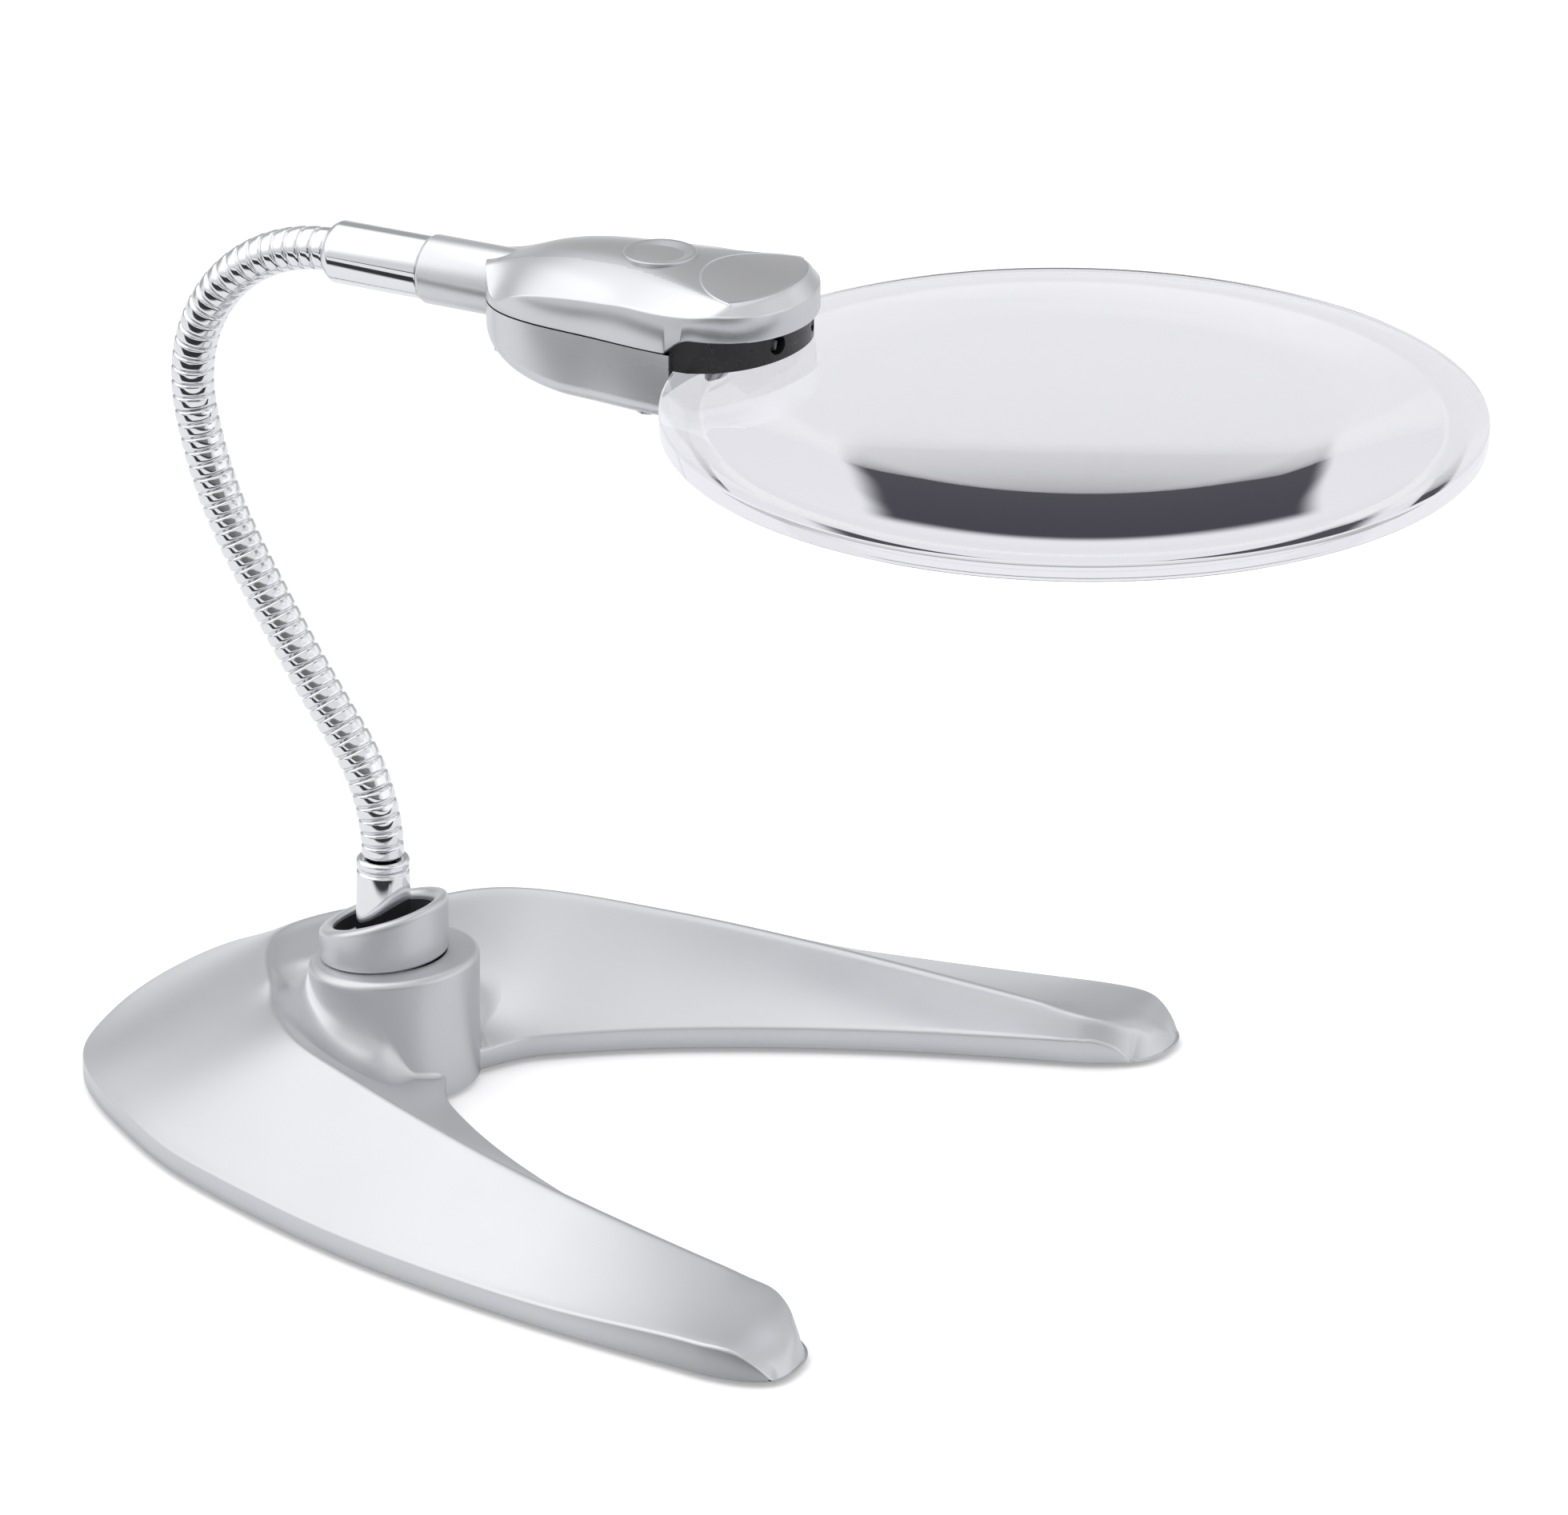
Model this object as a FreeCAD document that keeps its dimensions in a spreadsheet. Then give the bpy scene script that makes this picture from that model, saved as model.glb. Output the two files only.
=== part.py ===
import FreeCAD, Part
import os
from math import cos, hypot, pi, radians, sin, sqrt, tan

import Sketcher

Vector = FreeCAD.Vector
os.makedirs("parts", exist_ok=True)
doc = FreeCAD.newDocument("StandMagnifier")

# Stand magnifier: a horseshoe base with two ridged legs, a gooseneck of wound wire, and a battery head
# that holds a large rimless lens over the legs. The origin is on the neck's axis at floor level,
# +X points between the legs towards the lens, +Y is the left leg and +Z is up.
# Driving dimensions, in millimetres and degrees
sizes = {
    # horseshoe base
    "base_reach": 113.0,
    "base_half_width": 77.5,
    "crest_height": 21.6,
    "edge_height": 4.6,
    "shell_wall": 2.2,
    "foot_drop": 0.8,
    "toe_nose_length": 17.0,
    "toe_nose_height": 9.6,
    "boss_offset": 1.8,
    "boss_radius": 14.4,
    "boss_height": 21.8,
    "boss_slant": 5.0,
    "plate_thickness": 1.6,
    "plate_clearance": 0.15,
    "foot_radius": 5.0,
    "foot_thickness": 1.8,
    "base_screw_radius": 1.4,
    "base_screw_length": 4.2,
    "base_screw_head_radius": 2.8,
    "base_screw_head_height": 1.4,
    "base_post_radius": 3.6,
    "weight_clearance": 0.3,
    # neck fixing in the base
    "stud_radius": 3.0,
    "stud_length": 22.0,
    "nut_across_flats": 10.0,
    "nut_thickness": 5.0,
    "washer_radius": 5.9,
    "washer_thickness": 1.2,
    "nut_pocket_radius": 6.6,
    "nut_pocket_roof": 14.5,
    "hole_clearance": 0.06,
    "collar_radius": 10.8,
    "collar_bore_radius": 8.4,
    "collar_floor": 2.0,
    "collar_height": 7.6,
    "collar_slant": 19.5,
    "ferrule_radius": 4.7,
    "ferrule_lip_radius": 4.45,
    "ferrule_lip_height": 1.5,
    "crimp_depth": 0.35,
    "crimp_width": 0.7,
    "neck_start_height": 39.4,
    # gooseneck
    "neck_radius": 3.6,
    "groove_radius": 3.15,
    "lower_arc_length": 21.4,
    "lower_arc_turn": -36.0,
    "middle_arc_length": 36.0,
    "middle_arc_turn": 6.0,
    "upper_arc_length": 25.0,
    "upper_arc_turn": 20.0,
    "top_arc_length": 47.0,
    "top_arc_turn": 100.0,
    "hinge_gap": 0.7,
    # head tube and its ferrule
    "head_ferrule_radius": 5.2,
    "head_ferrule_length": 18.2,
    "head_ferrule_round": 1.6,
    "tube_radius": 5.7,
    "tube_overlap": 8.0,
    "tube_spigot_radius": 3.8,
    "tube_insertion": 10.0,
    # moulded head
    "head_start": 29.5,
    "head_length": 57.0,
    "head_half_width": 16.1,
    "head_top": 9.1,
    "head_crown": 0.8,
    "nose_chamfer_width": 1.9,
    "nose_chamfer_height": 2.6,
    "head_depth": 12.0,
    "parting_drop": 0.5,
    "visor_gap": 2.3,
    "head_wall": 1.8,
    "head_floor": 3.4,
    "head_ceiling": 3.9,
    "visor_start": 39.8,
    "panel_radius": 12.6,
    "panel_centre": 81.9,
    "panel_depth": 0.5,
    "panel_margin": 0.4,
    "panel_clearance": 0.1,
    "rib_start": 37.0,
    "rib_width": 2.0,
    "shell_screw_radius": 1.1,
    "shell_screw_head_radius": 2.0,
    "shell_screw_head_height": 1.4,
    "shell_post_radius": 2.4,
    "shell_screw_reach": 2.6,
    # lamp: button, dome, board, cells and cap
    "button_centre": 60.2,
    "button_radius": 6.0,
    "button_proud": 0.3,
    "button_clearance": 0.3,
    "button_flange_width": 1.4,
    "button_flange_thickness": 1.0,
    "button_flange_gap": 0.3,
    "button_roof": 8.1,
    "button_stem_radius": 2.2,
    "button_dish": 0.5,
    "dome_radius": 4.0,
    "dome_height": 2.3,
    "dome_wall": 0.7,
    "board_thickness": 1.6,
    "board_top": -0.8,
    "board_half_width": 9.5,
    "board_start": 44.0,
    "board_end": 66.5,
    "cell_centre": 55.2,
    "cell_radius": 10.0,
    "cell_thickness": 3.2,
    "cell_clearance": 0.25,
    "contact_thickness": 0.4,
    "contact_width": 4.0,
    "cap_radius": 11.4,
    "cap_thickness": 1.8,
    "cap_clearance": 0.3,
    "coin_slot_width": 1.8,
    "coin_slot_depth": 0.8,
    "coin_slot_length": 14.0,
    # lens and its clamp
    "lens_radius": 65.0,
    "lens_edge": 3.0,
    "lens_flange": 2.6,
    "lens_top_curve": 590.0,
    "lens_under_curve": 590.0,
    "lens_drop": 5.0,
    "lens_start": 68.6,
    "lens_clearance": 0.3,
    "lens_seat_clearance": 0.1,
    "bar_margin": 1.0,
    "bar_start": 40.2,
    "lens_screw_radius": 1.25,
    "lens_screw_head_radius": 2.3,
    "lens_screw_head_height": 1.4,
    "lens_screw_inset": 6.9,
    "lens_screw_spacing": 17.0,
    "lens_screw_length": 6.4,
    "led_radius": 1.5,
    "led_length": 5.0,
    "led_spacing": 12.0,
    "led_height": 0.5,
    "led_recess": 0.3,
    # one overrun for every cut
    "overrun": 3.0,
}
sheet = doc.addObject("Spreadsheet::Sheet", "Sizes")
for row, (alias, value) in enumerate(sizes.items(), start=1):
    sheet.set("A%d" % row, str(value))
    sheet.setAlias("A%d" % row, alias)
doc.recompute()


def size(alias):
    """One driving dimension, read back from the sheet."""
    return float(getattr(sheet, alias))


# Gooseneck counts
SEGMENTS = 11
RIBS_PER_SEGMENT = 5

# Plan of the base: shares of its reach and of its half width, from the heel round to the left toe
outer_edge_shares = [
    (-0.4265, 0.0), (-0.4177, 0.155), (-0.3894, 0.319), (-0.3088, 0.463), (-0.2319, 0.550),
    (-0.1186, 0.659), (-0.0248, 0.724), (0.062, 0.774), (0.2265, 0.854), (0.3788, 0.907),
    (0.5221, 0.943), (0.6593, 0.969), (0.792, 0.985), (0.8903, 0.997),
]
toe_tip_share = (1.0, 0.858)
inner_edge_shares = [
    (0.9062, 0.717), (0.8496, 0.688), (0.7363, 0.631), (0.6248, 0.568), (0.5159, 0.497), (0.4097, 0.418),
    (0.3071, 0.329), (0.2106, 0.226), (0.1664, 0.163), (0.1434, 0.103), (0.1283, 0.065),
]
# Cross sections of the base: the ridge's x, y and height shares, then the outer and inner edges' x and y
# shares, then the outer edge's height as a share of the edge height
ridge_section_shares = [
    (-0.179, 0.0, 0.995, -0.4265, 0.0, 0.140, 0.0, 1.0),
    (-0.159, 0.103, 0.995, -0.4177, 0.174, 0.140, 0.026, 1.0),
    (-0.1035, 0.226, 0.991, -0.3752, 0.355, 0.141, 0.058, 1.0),
    (-0.0416, 0.348, 0.982, -0.2832, 0.490, 0.142, 0.090, 1.0),
    (0.0274, 0.452, 0.963, -0.1593, 0.619, 0.150, 0.129, 1.0),
    (0.1159, 0.515, 0.926, 0.0, 0.741, 0.168, 0.165, 1.0),
    (0.2204, 0.565, 0.861, 0.1593, 0.825, 0.237, 0.258, 1.0),
    (0.3221, 0.607, 0.796, 0.2832, 0.876, 0.330, 0.351, 1.0),
    (0.4221, 0.642, 0.727, 0.4071, 0.916, 0.426, 0.431, 1.0),
    (0.5221, 0.671, 0.660, 0.5133, 0.941, 0.522, 0.501, 1.0),
    (0.6221, 0.694, 0.594, 0.6195, 0.962, 0.621, 0.566, 1.02),
    (0.7221, 0.713, 0.529, 0.7221, 0.978, 0.721, 0.623, 1.05),
    (0.8221, 0.730, 0.464, 0.8221, 0.989, 0.8221, 0.673, 1.08),
    (0.9221, 0.745, 0.400, 0.9221, 1.0, 0.9221, 0.723, 1.1),
    (1.0221, 0.759, 0.337, 1.0221, 1.010, 1.0221, 0.773, 1.1),
]
section_reach_share = 1.1
inner_sag_share = 0.055
weight_outer_share = 0.45
weight_inner_share = 0.35
leg_weight_sections = (5, 10)
heel_weight_sections = 2
base_screw_shares = [(0.60, 0.79), (0.60, -0.79), (-0.075, 0.545), (-0.075, -0.545)]
foot_shares = [(0.868, 0.857), (0.868, -0.857), (-0.30, 0.27), (-0.30, -0.27), (0.0, 0.0)]

# Plan of the head: shares of its length and of its half width, one side from the rear to the nose
head_plan_shares = [
    (0.0, 0.0), (0.014, 0.199), (0.037, 0.360), (0.072, 0.547), (0.123, 0.702), (0.207, 0.826),
    (0.435, 0.925), (0.646, 1.0), (0.733, 1.0), (0.839, 0.932), (0.926, 0.733), (0.982, 0.398), (1.0, 0.0),
]
# Cross sections of the upper shell: x, wall height, top half width and top height shares
head_section_shares = [
    (-0.03, 0.62, 0.25, 0.40, 0.42),
    (0.057, 0.76, 0.49, 0.25, 0.56),
    (0.18, 0.86, 0.62, 0.31, 0.80),
    (0.325, 0.93, 0.67, 0.37, 0.965),
    (0.593, 1.06, 0.64, 0.48, 1.0),
    (0.735, 1.10, 0.60, 0.64, 0.97),
    (0.88, 1.10, 0.58, 0.79, 0.925),
    (1.03, 1.10, 0.56, 0.85, 0.89),
]
# Underside of the head seen from the side: shares of its length and of its depth
head_keel_shares = [(0.0, 0.515), (0.05, 0.60), (0.155, 0.80), (0.265, 0.94), (0.36, 1.0)]
shell_screw_shares = [(0.116, 0.55), (0.116, -0.55), (0.62, 0.775), (0.62, -0.775)]
rib_crest_shares = (0.17, 0.83)


def scaled(shares, width, height):
    """Turns a table of shares into places, in named sizes."""
    return [(x * width, y * height) for x, y in shares]


def mirrored(points):
    return [(x, -y) for x, y in points]


def spline(points):
    curve = Part.BSplineCurve()
    curve.interpolate([Vector(x, y, 0) for x, y in points])
    return curve.toShape()


def arc_through(first, middle, last):
    places = [Vector(x, y, 0) for x, y in (first, middle, last)]
    return Part.Arc(*places).toShape()


def face_of(edges):
    return Part.Face(Part.Wire(Part.__sortEdges__(edges)))


def inset(face, distance):
    """A smaller outline inside a flat one, its edges drawn again as plain curves."""
    wire = face.makeOffset2D(-distance).Faces[0].OuterWire
    edges = []
    for edge in wire.Edges:
        places = edge.discretize(8 + int(90 * edge.Length / wire.Length))
        if len(places) <= 9 or isinstance(edge.Curve, Part.Line):
            edges.append(Part.makeLine(places[0], places[-1]))
            continue
        curve = Part.BSplineCurve()
        curve.interpolate(places)
        edges.append(curve.toShape())
    return face_of(edges)


def raised(face, low, high):
    """A prism of a flat face between two heights."""
    lifted = face.copy()
    lifted.translate(Vector(0, 0, low))
    return lifted.extrude(Vector(0, 0, high - low))


def cylinder(radius, low, high, x=0.0, y=0.0):
    return Part.makeCylinder(radius, high - low, Vector(x, y, low))


def along_x(radius, start, end, y=0.0, z=0.0):
    return Part.makeCylinder(radius, end - start, Vector(start, y, z), Vector(1, 0, 0))


def box_between(low, high):
    """A box between two corners."""
    spans = [b - a for a, b in zip(low, high)]
    return Part.makeBox(*spans, Vector(*low))


def solid_piece(label, shape, place=None):
    """A sub-part whose form neither a sketch nor a primitive fits."""
    piece = doc.addObject("Part::Feature", label)
    piece.Label = label
    piece.Shape = shape.Solids[0] if len(shape.Solids) == 1 else shape
    piece.Placement = place or FreeCAD.Placement()
    return piece


# Sketched bodies


def new_sketch(body, name, role):
    sketch = body.newObject("Sketcher::SketchObject", name)
    plane = next(item for item in body.Origin.OriginFeatures if item.Role == role)
    sketch.AttachmentSupport = [(plane, "")]
    sketch.MapMode = "FlatFace"
    return sketch


def bind_point(sketch, geometry, corner, x, y):
    """Ties one point of a sketch to two expressions of the sheet."""
    for kind, axis, expression in (("DistanceX", -2, x), ("DistanceY", -1, y)):
        if expression == "0":
            sketch.addConstraint(Sketcher.Constraint("PointOnObject", geometry, corner, axis))
            continue
        number = sheet.evalExpression(expression)
        index = sketch.addConstraint(Sketcher.Constraint(kind, -1, 1, geometry, corner, number))
        sketch.setExpression("Constraints[%d]" % index, expression)


def polygon(sketch, points):
    """A closed outline whose corners are bound to the sheet."""
    spots = [(sheet.evalExpression(x), sheet.evalExpression(y)) for x, y in points]
    start = sketch.GeometryCount
    count = len(spots)
    for index, (x, y) in enumerate(spots):
        end_x, end_y = spots[(index + 1) % count]
        sketch.addGeometry(Part.LineSegment(Vector(x, y, 0), Vector(end_x, end_y, 0)), False)
    for index in range(count):
        following = start + (index + 1) % count
        sketch.addConstraint(Sketcher.Constraint("Coincident", start + index, 2, following, 1))
    for index, (x, y) in enumerate(points):
        bind_point(sketch, start + index, 1, x, y)


def circle(sketch, x, y, radius):
    """A circle whose centre and radius are bound to the sheet."""
    centre = Vector(sheet.evalExpression(x), sheet.evalExpression(y), 0)
    number = sheet.evalExpression(radius)
    index = sketch.addGeometry(Part.Circle(centre, Vector(0, 0, 1), number), False)
    bind_point(sketch, index, 3, x, y)
    constraint = sketch.addConstraint(Sketcher.Constraint("Radius", index, number))
    sketch.setExpression("Constraints[%d]" % constraint, radius)


def new_body(label):
    body = doc.addObject("PartDesign::Body", label)
    body.Label = label
    return body


def turned(label, points, axis="V_Axis", place=None):
    """A body turned from a half outline: about the vertical axis, or about the head's own axis."""
    body = new_body(label)
    sketch = new_sketch(body, label + "_outline", "XZ_Plane")
    polygon(sketch, points)
    turn = body.newObject("PartDesign::Revolution", label + "_turn")
    turn.Profile = sketch
    turn.ReferenceAxis = (sketch, [axis])
    turn.Angle = 360
    body.Placement = place or FreeCAD.Placement()
    return body


def padded(label, outline, length, lift, place=None):
    """A body padded up from a flat sketch, at a height above the body's own plane."""
    body = new_body(label)
    sketch = new_sketch(body, label + "_outline", "XY_Plane")
    outline(sketch)
    sketch.setExpression("AttachmentOffset.Base.z", lift)
    pad = body.newObject("PartDesign::Pad", label + "_pad")
    pad.Profile = sketch
    pad.setExpression("Length", length)
    body.Placement = place or FreeCAD.Placement()
    return body


# Gooseneck route: four tangent arcs in the plane of symmetry


def neck_route(distance):
    """Place and heading at a distance along the neck; the heading is the lean from vertical."""
    x, z, heading = 0.0, size("neck_start_height"), 0.0
    for name in ("lower", "middle", "upper", "top"):
        length = size(name + "_arc_length")
        turn = radians(size(name + "_arc_turn"))
        part = min(distance, length)
        radius = length / turn
        end = heading + turn * part / length
        x += radius * (cos(heading) - cos(end))
        z += radius * (sin(end) - sin(heading))
        heading = end
        distance -= part
        if distance <= 0:
            break
    return x, z, heading


def neck_length():
    return sum(size(name + "_arc_length") for name in ("lower", "middle", "upper", "top"))


def neck_circle(distance, radius):
    x, z, heading = neck_route(distance)
    axis = Vector(sin(heading), 0, cos(heading))
    ring = Part.Circle(Vector(x, 0, z), axis, radius)
    ring.XAxis = Vector(0, 1, 0)
    return Part.Wire(ring.toShape())


def neck_segment(number):
    """One stretch of the wound wire, with its ribs, between two grooves that can bend."""
    length = neck_length() / SEGMENTS
    pitch = length / RIBS_PER_SEGMENT
    begin = number * length
    edge = size("hinge_gap") / 2
    groove, crest = size("groove_radius"), size("neck_radius")
    rings = [neck_circle(begin + edge, groove)]
    for rib in range(RIBS_PER_SEGMENT):
        foot = begin + rib * pitch
        for along in rib_crest_shares:
            rings.append(neck_circle(foot + along * pitch, crest))
        if rib < RIBS_PER_SEGMENT - 1:
            rings.append(neck_circle(foot + pitch, groove))
    rings.append(neck_circle(begin + length - edge, groove))
    return Part.makeLoft(rings, True, True)


for number in range(SEGMENTS):
    solid_piece("neck_segment_%02d" % (number + 1), neck_segment(number))

# The head is built along its own tube: its origin is where the neck ends
head_x, head_z, head_heading = neck_route(neck_length())
head_turn = FreeCAD.Rotation(Vector(0, 1, 0), head_heading * 180 / pi - 90)
head_place = FreeCAD.Placement(Vector(head_x, 0, head_z), head_turn)


# Base shell


outer_edge = scaled(outer_edge_shares, size("base_reach"), size("base_half_width"))
inner_edge = scaled(inner_edge_shares, size("base_reach"), size("base_half_width"))
outer_curve = spline(list(reversed(mirrored(outer_edge)))[:-1] + outer_edge).Curve
inner_curve = spline(inner_edge).Curve


def on_edge(curve, x, y, height):
    """The place of a plan curve nearest to a section's end; ends beyond the curve stay where they are."""
    place = Vector(x, y, 0)
    near = curve.value(curve.parameter(place))
    if (near - place).Length < size("edge_height"):
        place = near
    return Vector(place.x, place.y, height)


def base_outline():
    reach, half = size("base_reach"), size("base_half_width")
    outer, inner = outer_edge, inner_edge
    tip = scaled([toe_tip_share], reach, half)[0]
    edges = [spline(list(reversed(mirrored(outer)))[:-1] + outer)]
    for side in (lambda points: points, mirrored):
        toe = side([outer[-1], tip, inner[0]])
        edges.append(arc_through(*toe))
        edges.append(spline(side(inner)))
    notch = [inner[-1], mirrored(inner)[-1]]
    edges.append(Part.makeLine(*[Vector(x, y, 0) for x, y in notch]))
    return face_of(edges)


def ridge_points(row, side):
    """Outer edge, ridge and inner edge of one cross section of the base."""
    reach, half = size("base_reach"), size("base_half_width")
    crest_x, crest_y, crest_z, outer_x, outer_y, inner_x, inner_y, edge = row
    height = size("edge_height")
    crest = Vector(crest_x * reach, crest_y * half, crest_z * size("crest_height"))
    outer = on_edge(outer_curve, outer_x * reach, outer_y * half, edge * height)
    inner = on_edge(inner_curve, inner_x * reach, inner_y * half, edge * height)
    return [Vector(place.x, side * place.y, place.z) for place in (outer, crest, inner)]


def ridge_section(row, side, sunk):
    """A roof-shaped section, a little wider than the plan; its inner slope is hollow."""
    outer, crest, inner = ridge_points(row, side)
    wide_outer = crest + (outer - crest) * section_reach_share
    slope = inner - crest
    places = []
    for along in (section_reach_share / 2, section_reach_share):
        sag = 4 * inner_sag_share * slope.Length * along * (1 - along)
        places.append(crest + slope * along - Vector(0, 0, sag))
    middle, wide_inner = places
    floor = -size("overrun")
    drop = Vector(0, 0, -sunk)
    corners = [
        Vector(wide_inner.x, wide_inner.y, floor),
        Vector(wide_outer.x, wide_outer.y, floor),
        wide_outer + drop,
        crest + drop,
    ]
    edges = [Part.makeLine(a, b) for a, b in zip(corners, corners[1:])]
    edges.append(Part.Arc(crest + drop, middle + drop, wide_inner + drop).toShape())
    edges.append(Part.makeLine(wide_inner + drop, corners[0]))
    return Part.Wire(edges)


def ridge_roof(sunk=0.0):
    """The whole horseshoe roof, lofted from the right toe round the heel to the left toe."""
    right = [ridge_section(row, -1, sunk) for row in reversed(ridge_section_shares[1:])]
    left = [ridge_section(row, 1, sunk) for row in ridge_section_shares]
    return Part.makeLoft(right + left, True, False, False, 5)


def slanted_top(height, slant, x=0.0):
    """A tall block whose upper face passes through a height at x and rises towards +X."""
    far = size("base_reach")
    rise = far * tan(radians(slant))
    floor = -size("overrun")
    corners = [
        Vector(x - far, -far, floor),
        Vector(x + far, -far, floor),
        Vector(x + far, -far, height + rise),
        Vector(x - far, -far, max(height - rise, floor + size("overrun") / 2)),
    ]
    side = Part.Face(Part.makePolygon(corners + corners[:1]))
    return side.extrude(Vector(0, 2 * far, 0))


def toe_nose():
    """What stays of the legs after their toes are rolled down to the floor."""
    tip = size("base_reach") * toe_tip_share[0]
    start = tip - size("toe_nose_length")
    height = size("toe_nose_height")
    half = size("base_half_width") * section_reach_share
    top = size("crest_height") + size("overrun")
    back = -size("base_reach")
    floor = -size("overrun")
    ring = Part.Ellipse(Vector(tip, 0, 0), Vector(start, 0, height), Vector(start, 0, 0))
    if size("toe_nose_length") < height:
        ring = Part.Ellipse(Vector(start, 0, height), Vector(tip, 0, 0), Vector(start, 0, 0))
    nose = Part.Face(Part.Wire(ring.toShape())).extrude(Vector(0, 2 * half, 0))
    nose.translate(Vector(0, -half, 0))
    return nose, box_between((back, -half, floor), (start, half, top))


foot_drop = size("foot_drop")
wall = size("shell_wall")
outline = base_outline()
roof = ridge_roof()
tall = size("crest_height") + size("boss_height")
legs = roof.common(raised(outline, foot_drop, tall))
nose, behind_nose = toe_nose()
legs = legs.common(nose.fuse(behind_nose))
boss = cylinder(size("boss_radius"), foot_drop, tall, size("boss_offset"))
boss = boss.common(slanted_top(size("boss_height"), size("boss_slant")))
inner_plan = inset(outline, wall)
plate_plan = inset(outline, wall + size("plate_clearance"))
plate_top = foot_drop + size("plate_thickness")
hollow = ridge_roof(wall * 1.2).common(raised(inner_plan, foot_drop, tall))
hollow_end = size("base_reach") - size("toe_nose_length")
hollow = hollow.common(box_between((-tall * 9, -tall * 9, -tall), (hollow_end, tall * 9, tall)))
hollow = hollow.fuse(raised(inner_plan, foot_drop - size("overrun"), plate_top))
screw_spots = scaled(base_screw_shares, size("base_reach"), size("base_half_width"))
foot_spots = scaled(foot_shares, size("base_reach"), size("base_half_width"))
posts = [cylinder(size("base_post_radius"), plate_top, tall, x, y) for x, y in screw_spots]
hollow = hollow.cut(Part.makeCompound(posts))
pilot = size("base_screw_radius") + size("hole_clearance")
pilot_top = plate_top + size("base_screw_length")
pilots = [cylinder(pilot, foot_drop, pilot_top, x, y) for x, y in screw_spots]
nut_pocket = cylinder(size("nut_pocket_radius"), foot_drop, size("nut_pocket_roof"))
stud_hole = cylinder(size("stud_radius") + size("hole_clearance"), foot_drop, tall)
shell = legs.fuse(boss)
shell = shell.cut(hollow)
shell = shell.cut(Part.makeCompound(pilots))
shell = shell.cut(nut_pocket).cut(stud_hole)
solid_piece("base_shell", shell)

# Bottom plate, its screws and the rubber feet
plate = raised(plate_plan, foot_drop, plate_top)
head_seat = foot_drop + size("base_screw_head_height")
for x, y in screw_spots:
    head_radius = size("base_screw_head_radius") + size("hole_clearance")
    plate = plate.cut(cylinder(pilot, foot_drop, plate_top, x, y))
    sink = Part.makeCone(head_radius, pilot, size("base_screw_head_height"), Vector(x, y, foot_drop))
    plate = plate.cut(sink)
for x, y in foot_spots:
    pocket_radius = size("foot_radius") + size("hole_clearance")
    plate = plate.cut(cylinder(pocket_radius, foot_drop, size("foot_thickness"), x, y))
solid_piece("bottom_plate", plate)

feet = doc.addObject("Part::MultiFuse", "rubber_feet")
feet.Label = "rubber_feet"
pads = []
for number, (share_x, share_y) in enumerate(foot_shares):
    pad = doc.addObject("Part::Cylinder", "foot_pad_%d" % number)
    pad.setExpression("Radius", "Sizes.foot_radius")
    pad.setExpression("Height", "Sizes.foot_thickness")
    pad.setExpression("Placement.Base.x", "Sizes.base_reach * %s" % share_x)
    pad.setExpression("Placement.Base.y", "Sizes.base_half_width * %s" % share_y)
    pads.append(pad)
feet.Shapes = pads

screws = []
for x, y in screw_spots:
    head = Part.makeCone(
        size("base_screw_head_radius"), size("base_screw_radius"),
        size("base_screw_head_height"), Vector(x, y, foot_drop),
    )
    shank = cylinder(size("base_screw_radius"), head_seat, pilot_top - size("hole_clearance"), x, y)
    screws.append(head.fuse(shank).removeSplitter())
solid_piece("base_screws", Part.makeCompound(screws))


# Steel weights inside the legs and the heel


def weight_section(row, side):
    """A box section that stands on the bottom plate under the ridge."""
    outer, crest, inner = ridge_points(row, side)
    near_outer = crest + (outer - crest) * weight_outer_share
    near_inner = crest + (inner - crest) * weight_inner_share
    low = plate_top + size("weight_clearance")
    high = min(near_outer.z, near_inner.z) - 2 * wall
    corners = [
        Vector(near_outer.x, near_outer.y, low),
        Vector(near_outer.x, near_outer.y, high),
        Vector(near_inner.x, near_inner.y, high),
        Vector(near_inner.x, near_inner.y, low),
    ]
    return Part.makePolygon(corners + corners[:1])


first, last = leg_weight_sections
for label, side in (("left_weight", 1), ("right_weight", -1)):
    rows = ridge_section_shares[first:last]
    solid_piece(label, Part.makeLoft([weight_section(row, side) for row in rows], True, True))
rows = ridge_section_shares[: heel_weight_sections + 1]
heel_sections = [weight_section(row, -1) for row in reversed(rows[1:])]
heel_sections += [weight_section(row, 1) for row in rows]
heel_weight = Part.makeLoft(heel_sections, True, True)
pocket_clearance = size("nut_pocket_radius") + size("weight_clearance")
solid_piece("heel_weight", heel_weight.cut(cylinder(pocket_clearance, -foot_drop, tall)))

# Neck fixing: stud, washer and nut under the boss
washer_low = "Sizes.nut_pocket_roof - Sizes.washer_thickness"
nut_low = washer_low + " - Sizes.nut_thickness"
stud_low = nut_low + " - Sizes.stud_radius / 2"
turned("neck_washer", [
    ("Sizes.stud_radius + Sizes.hole_clearance", washer_low),
    ("Sizes.washer_radius", washer_low),
    ("Sizes.washer_radius", "Sizes.nut_pocket_roof"),
    ("Sizes.stud_radius + Sizes.hole_clearance", "Sizes.nut_pocket_roof"),
])
turned("neck_stud", [
    ("0", stud_low),
    ("Sizes.stud_radius", stud_low),
    ("Sizes.stud_radius", stud_low + " + Sizes.stud_length"),
    ("0", stud_low + " + Sizes.stud_length"),
])


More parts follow.
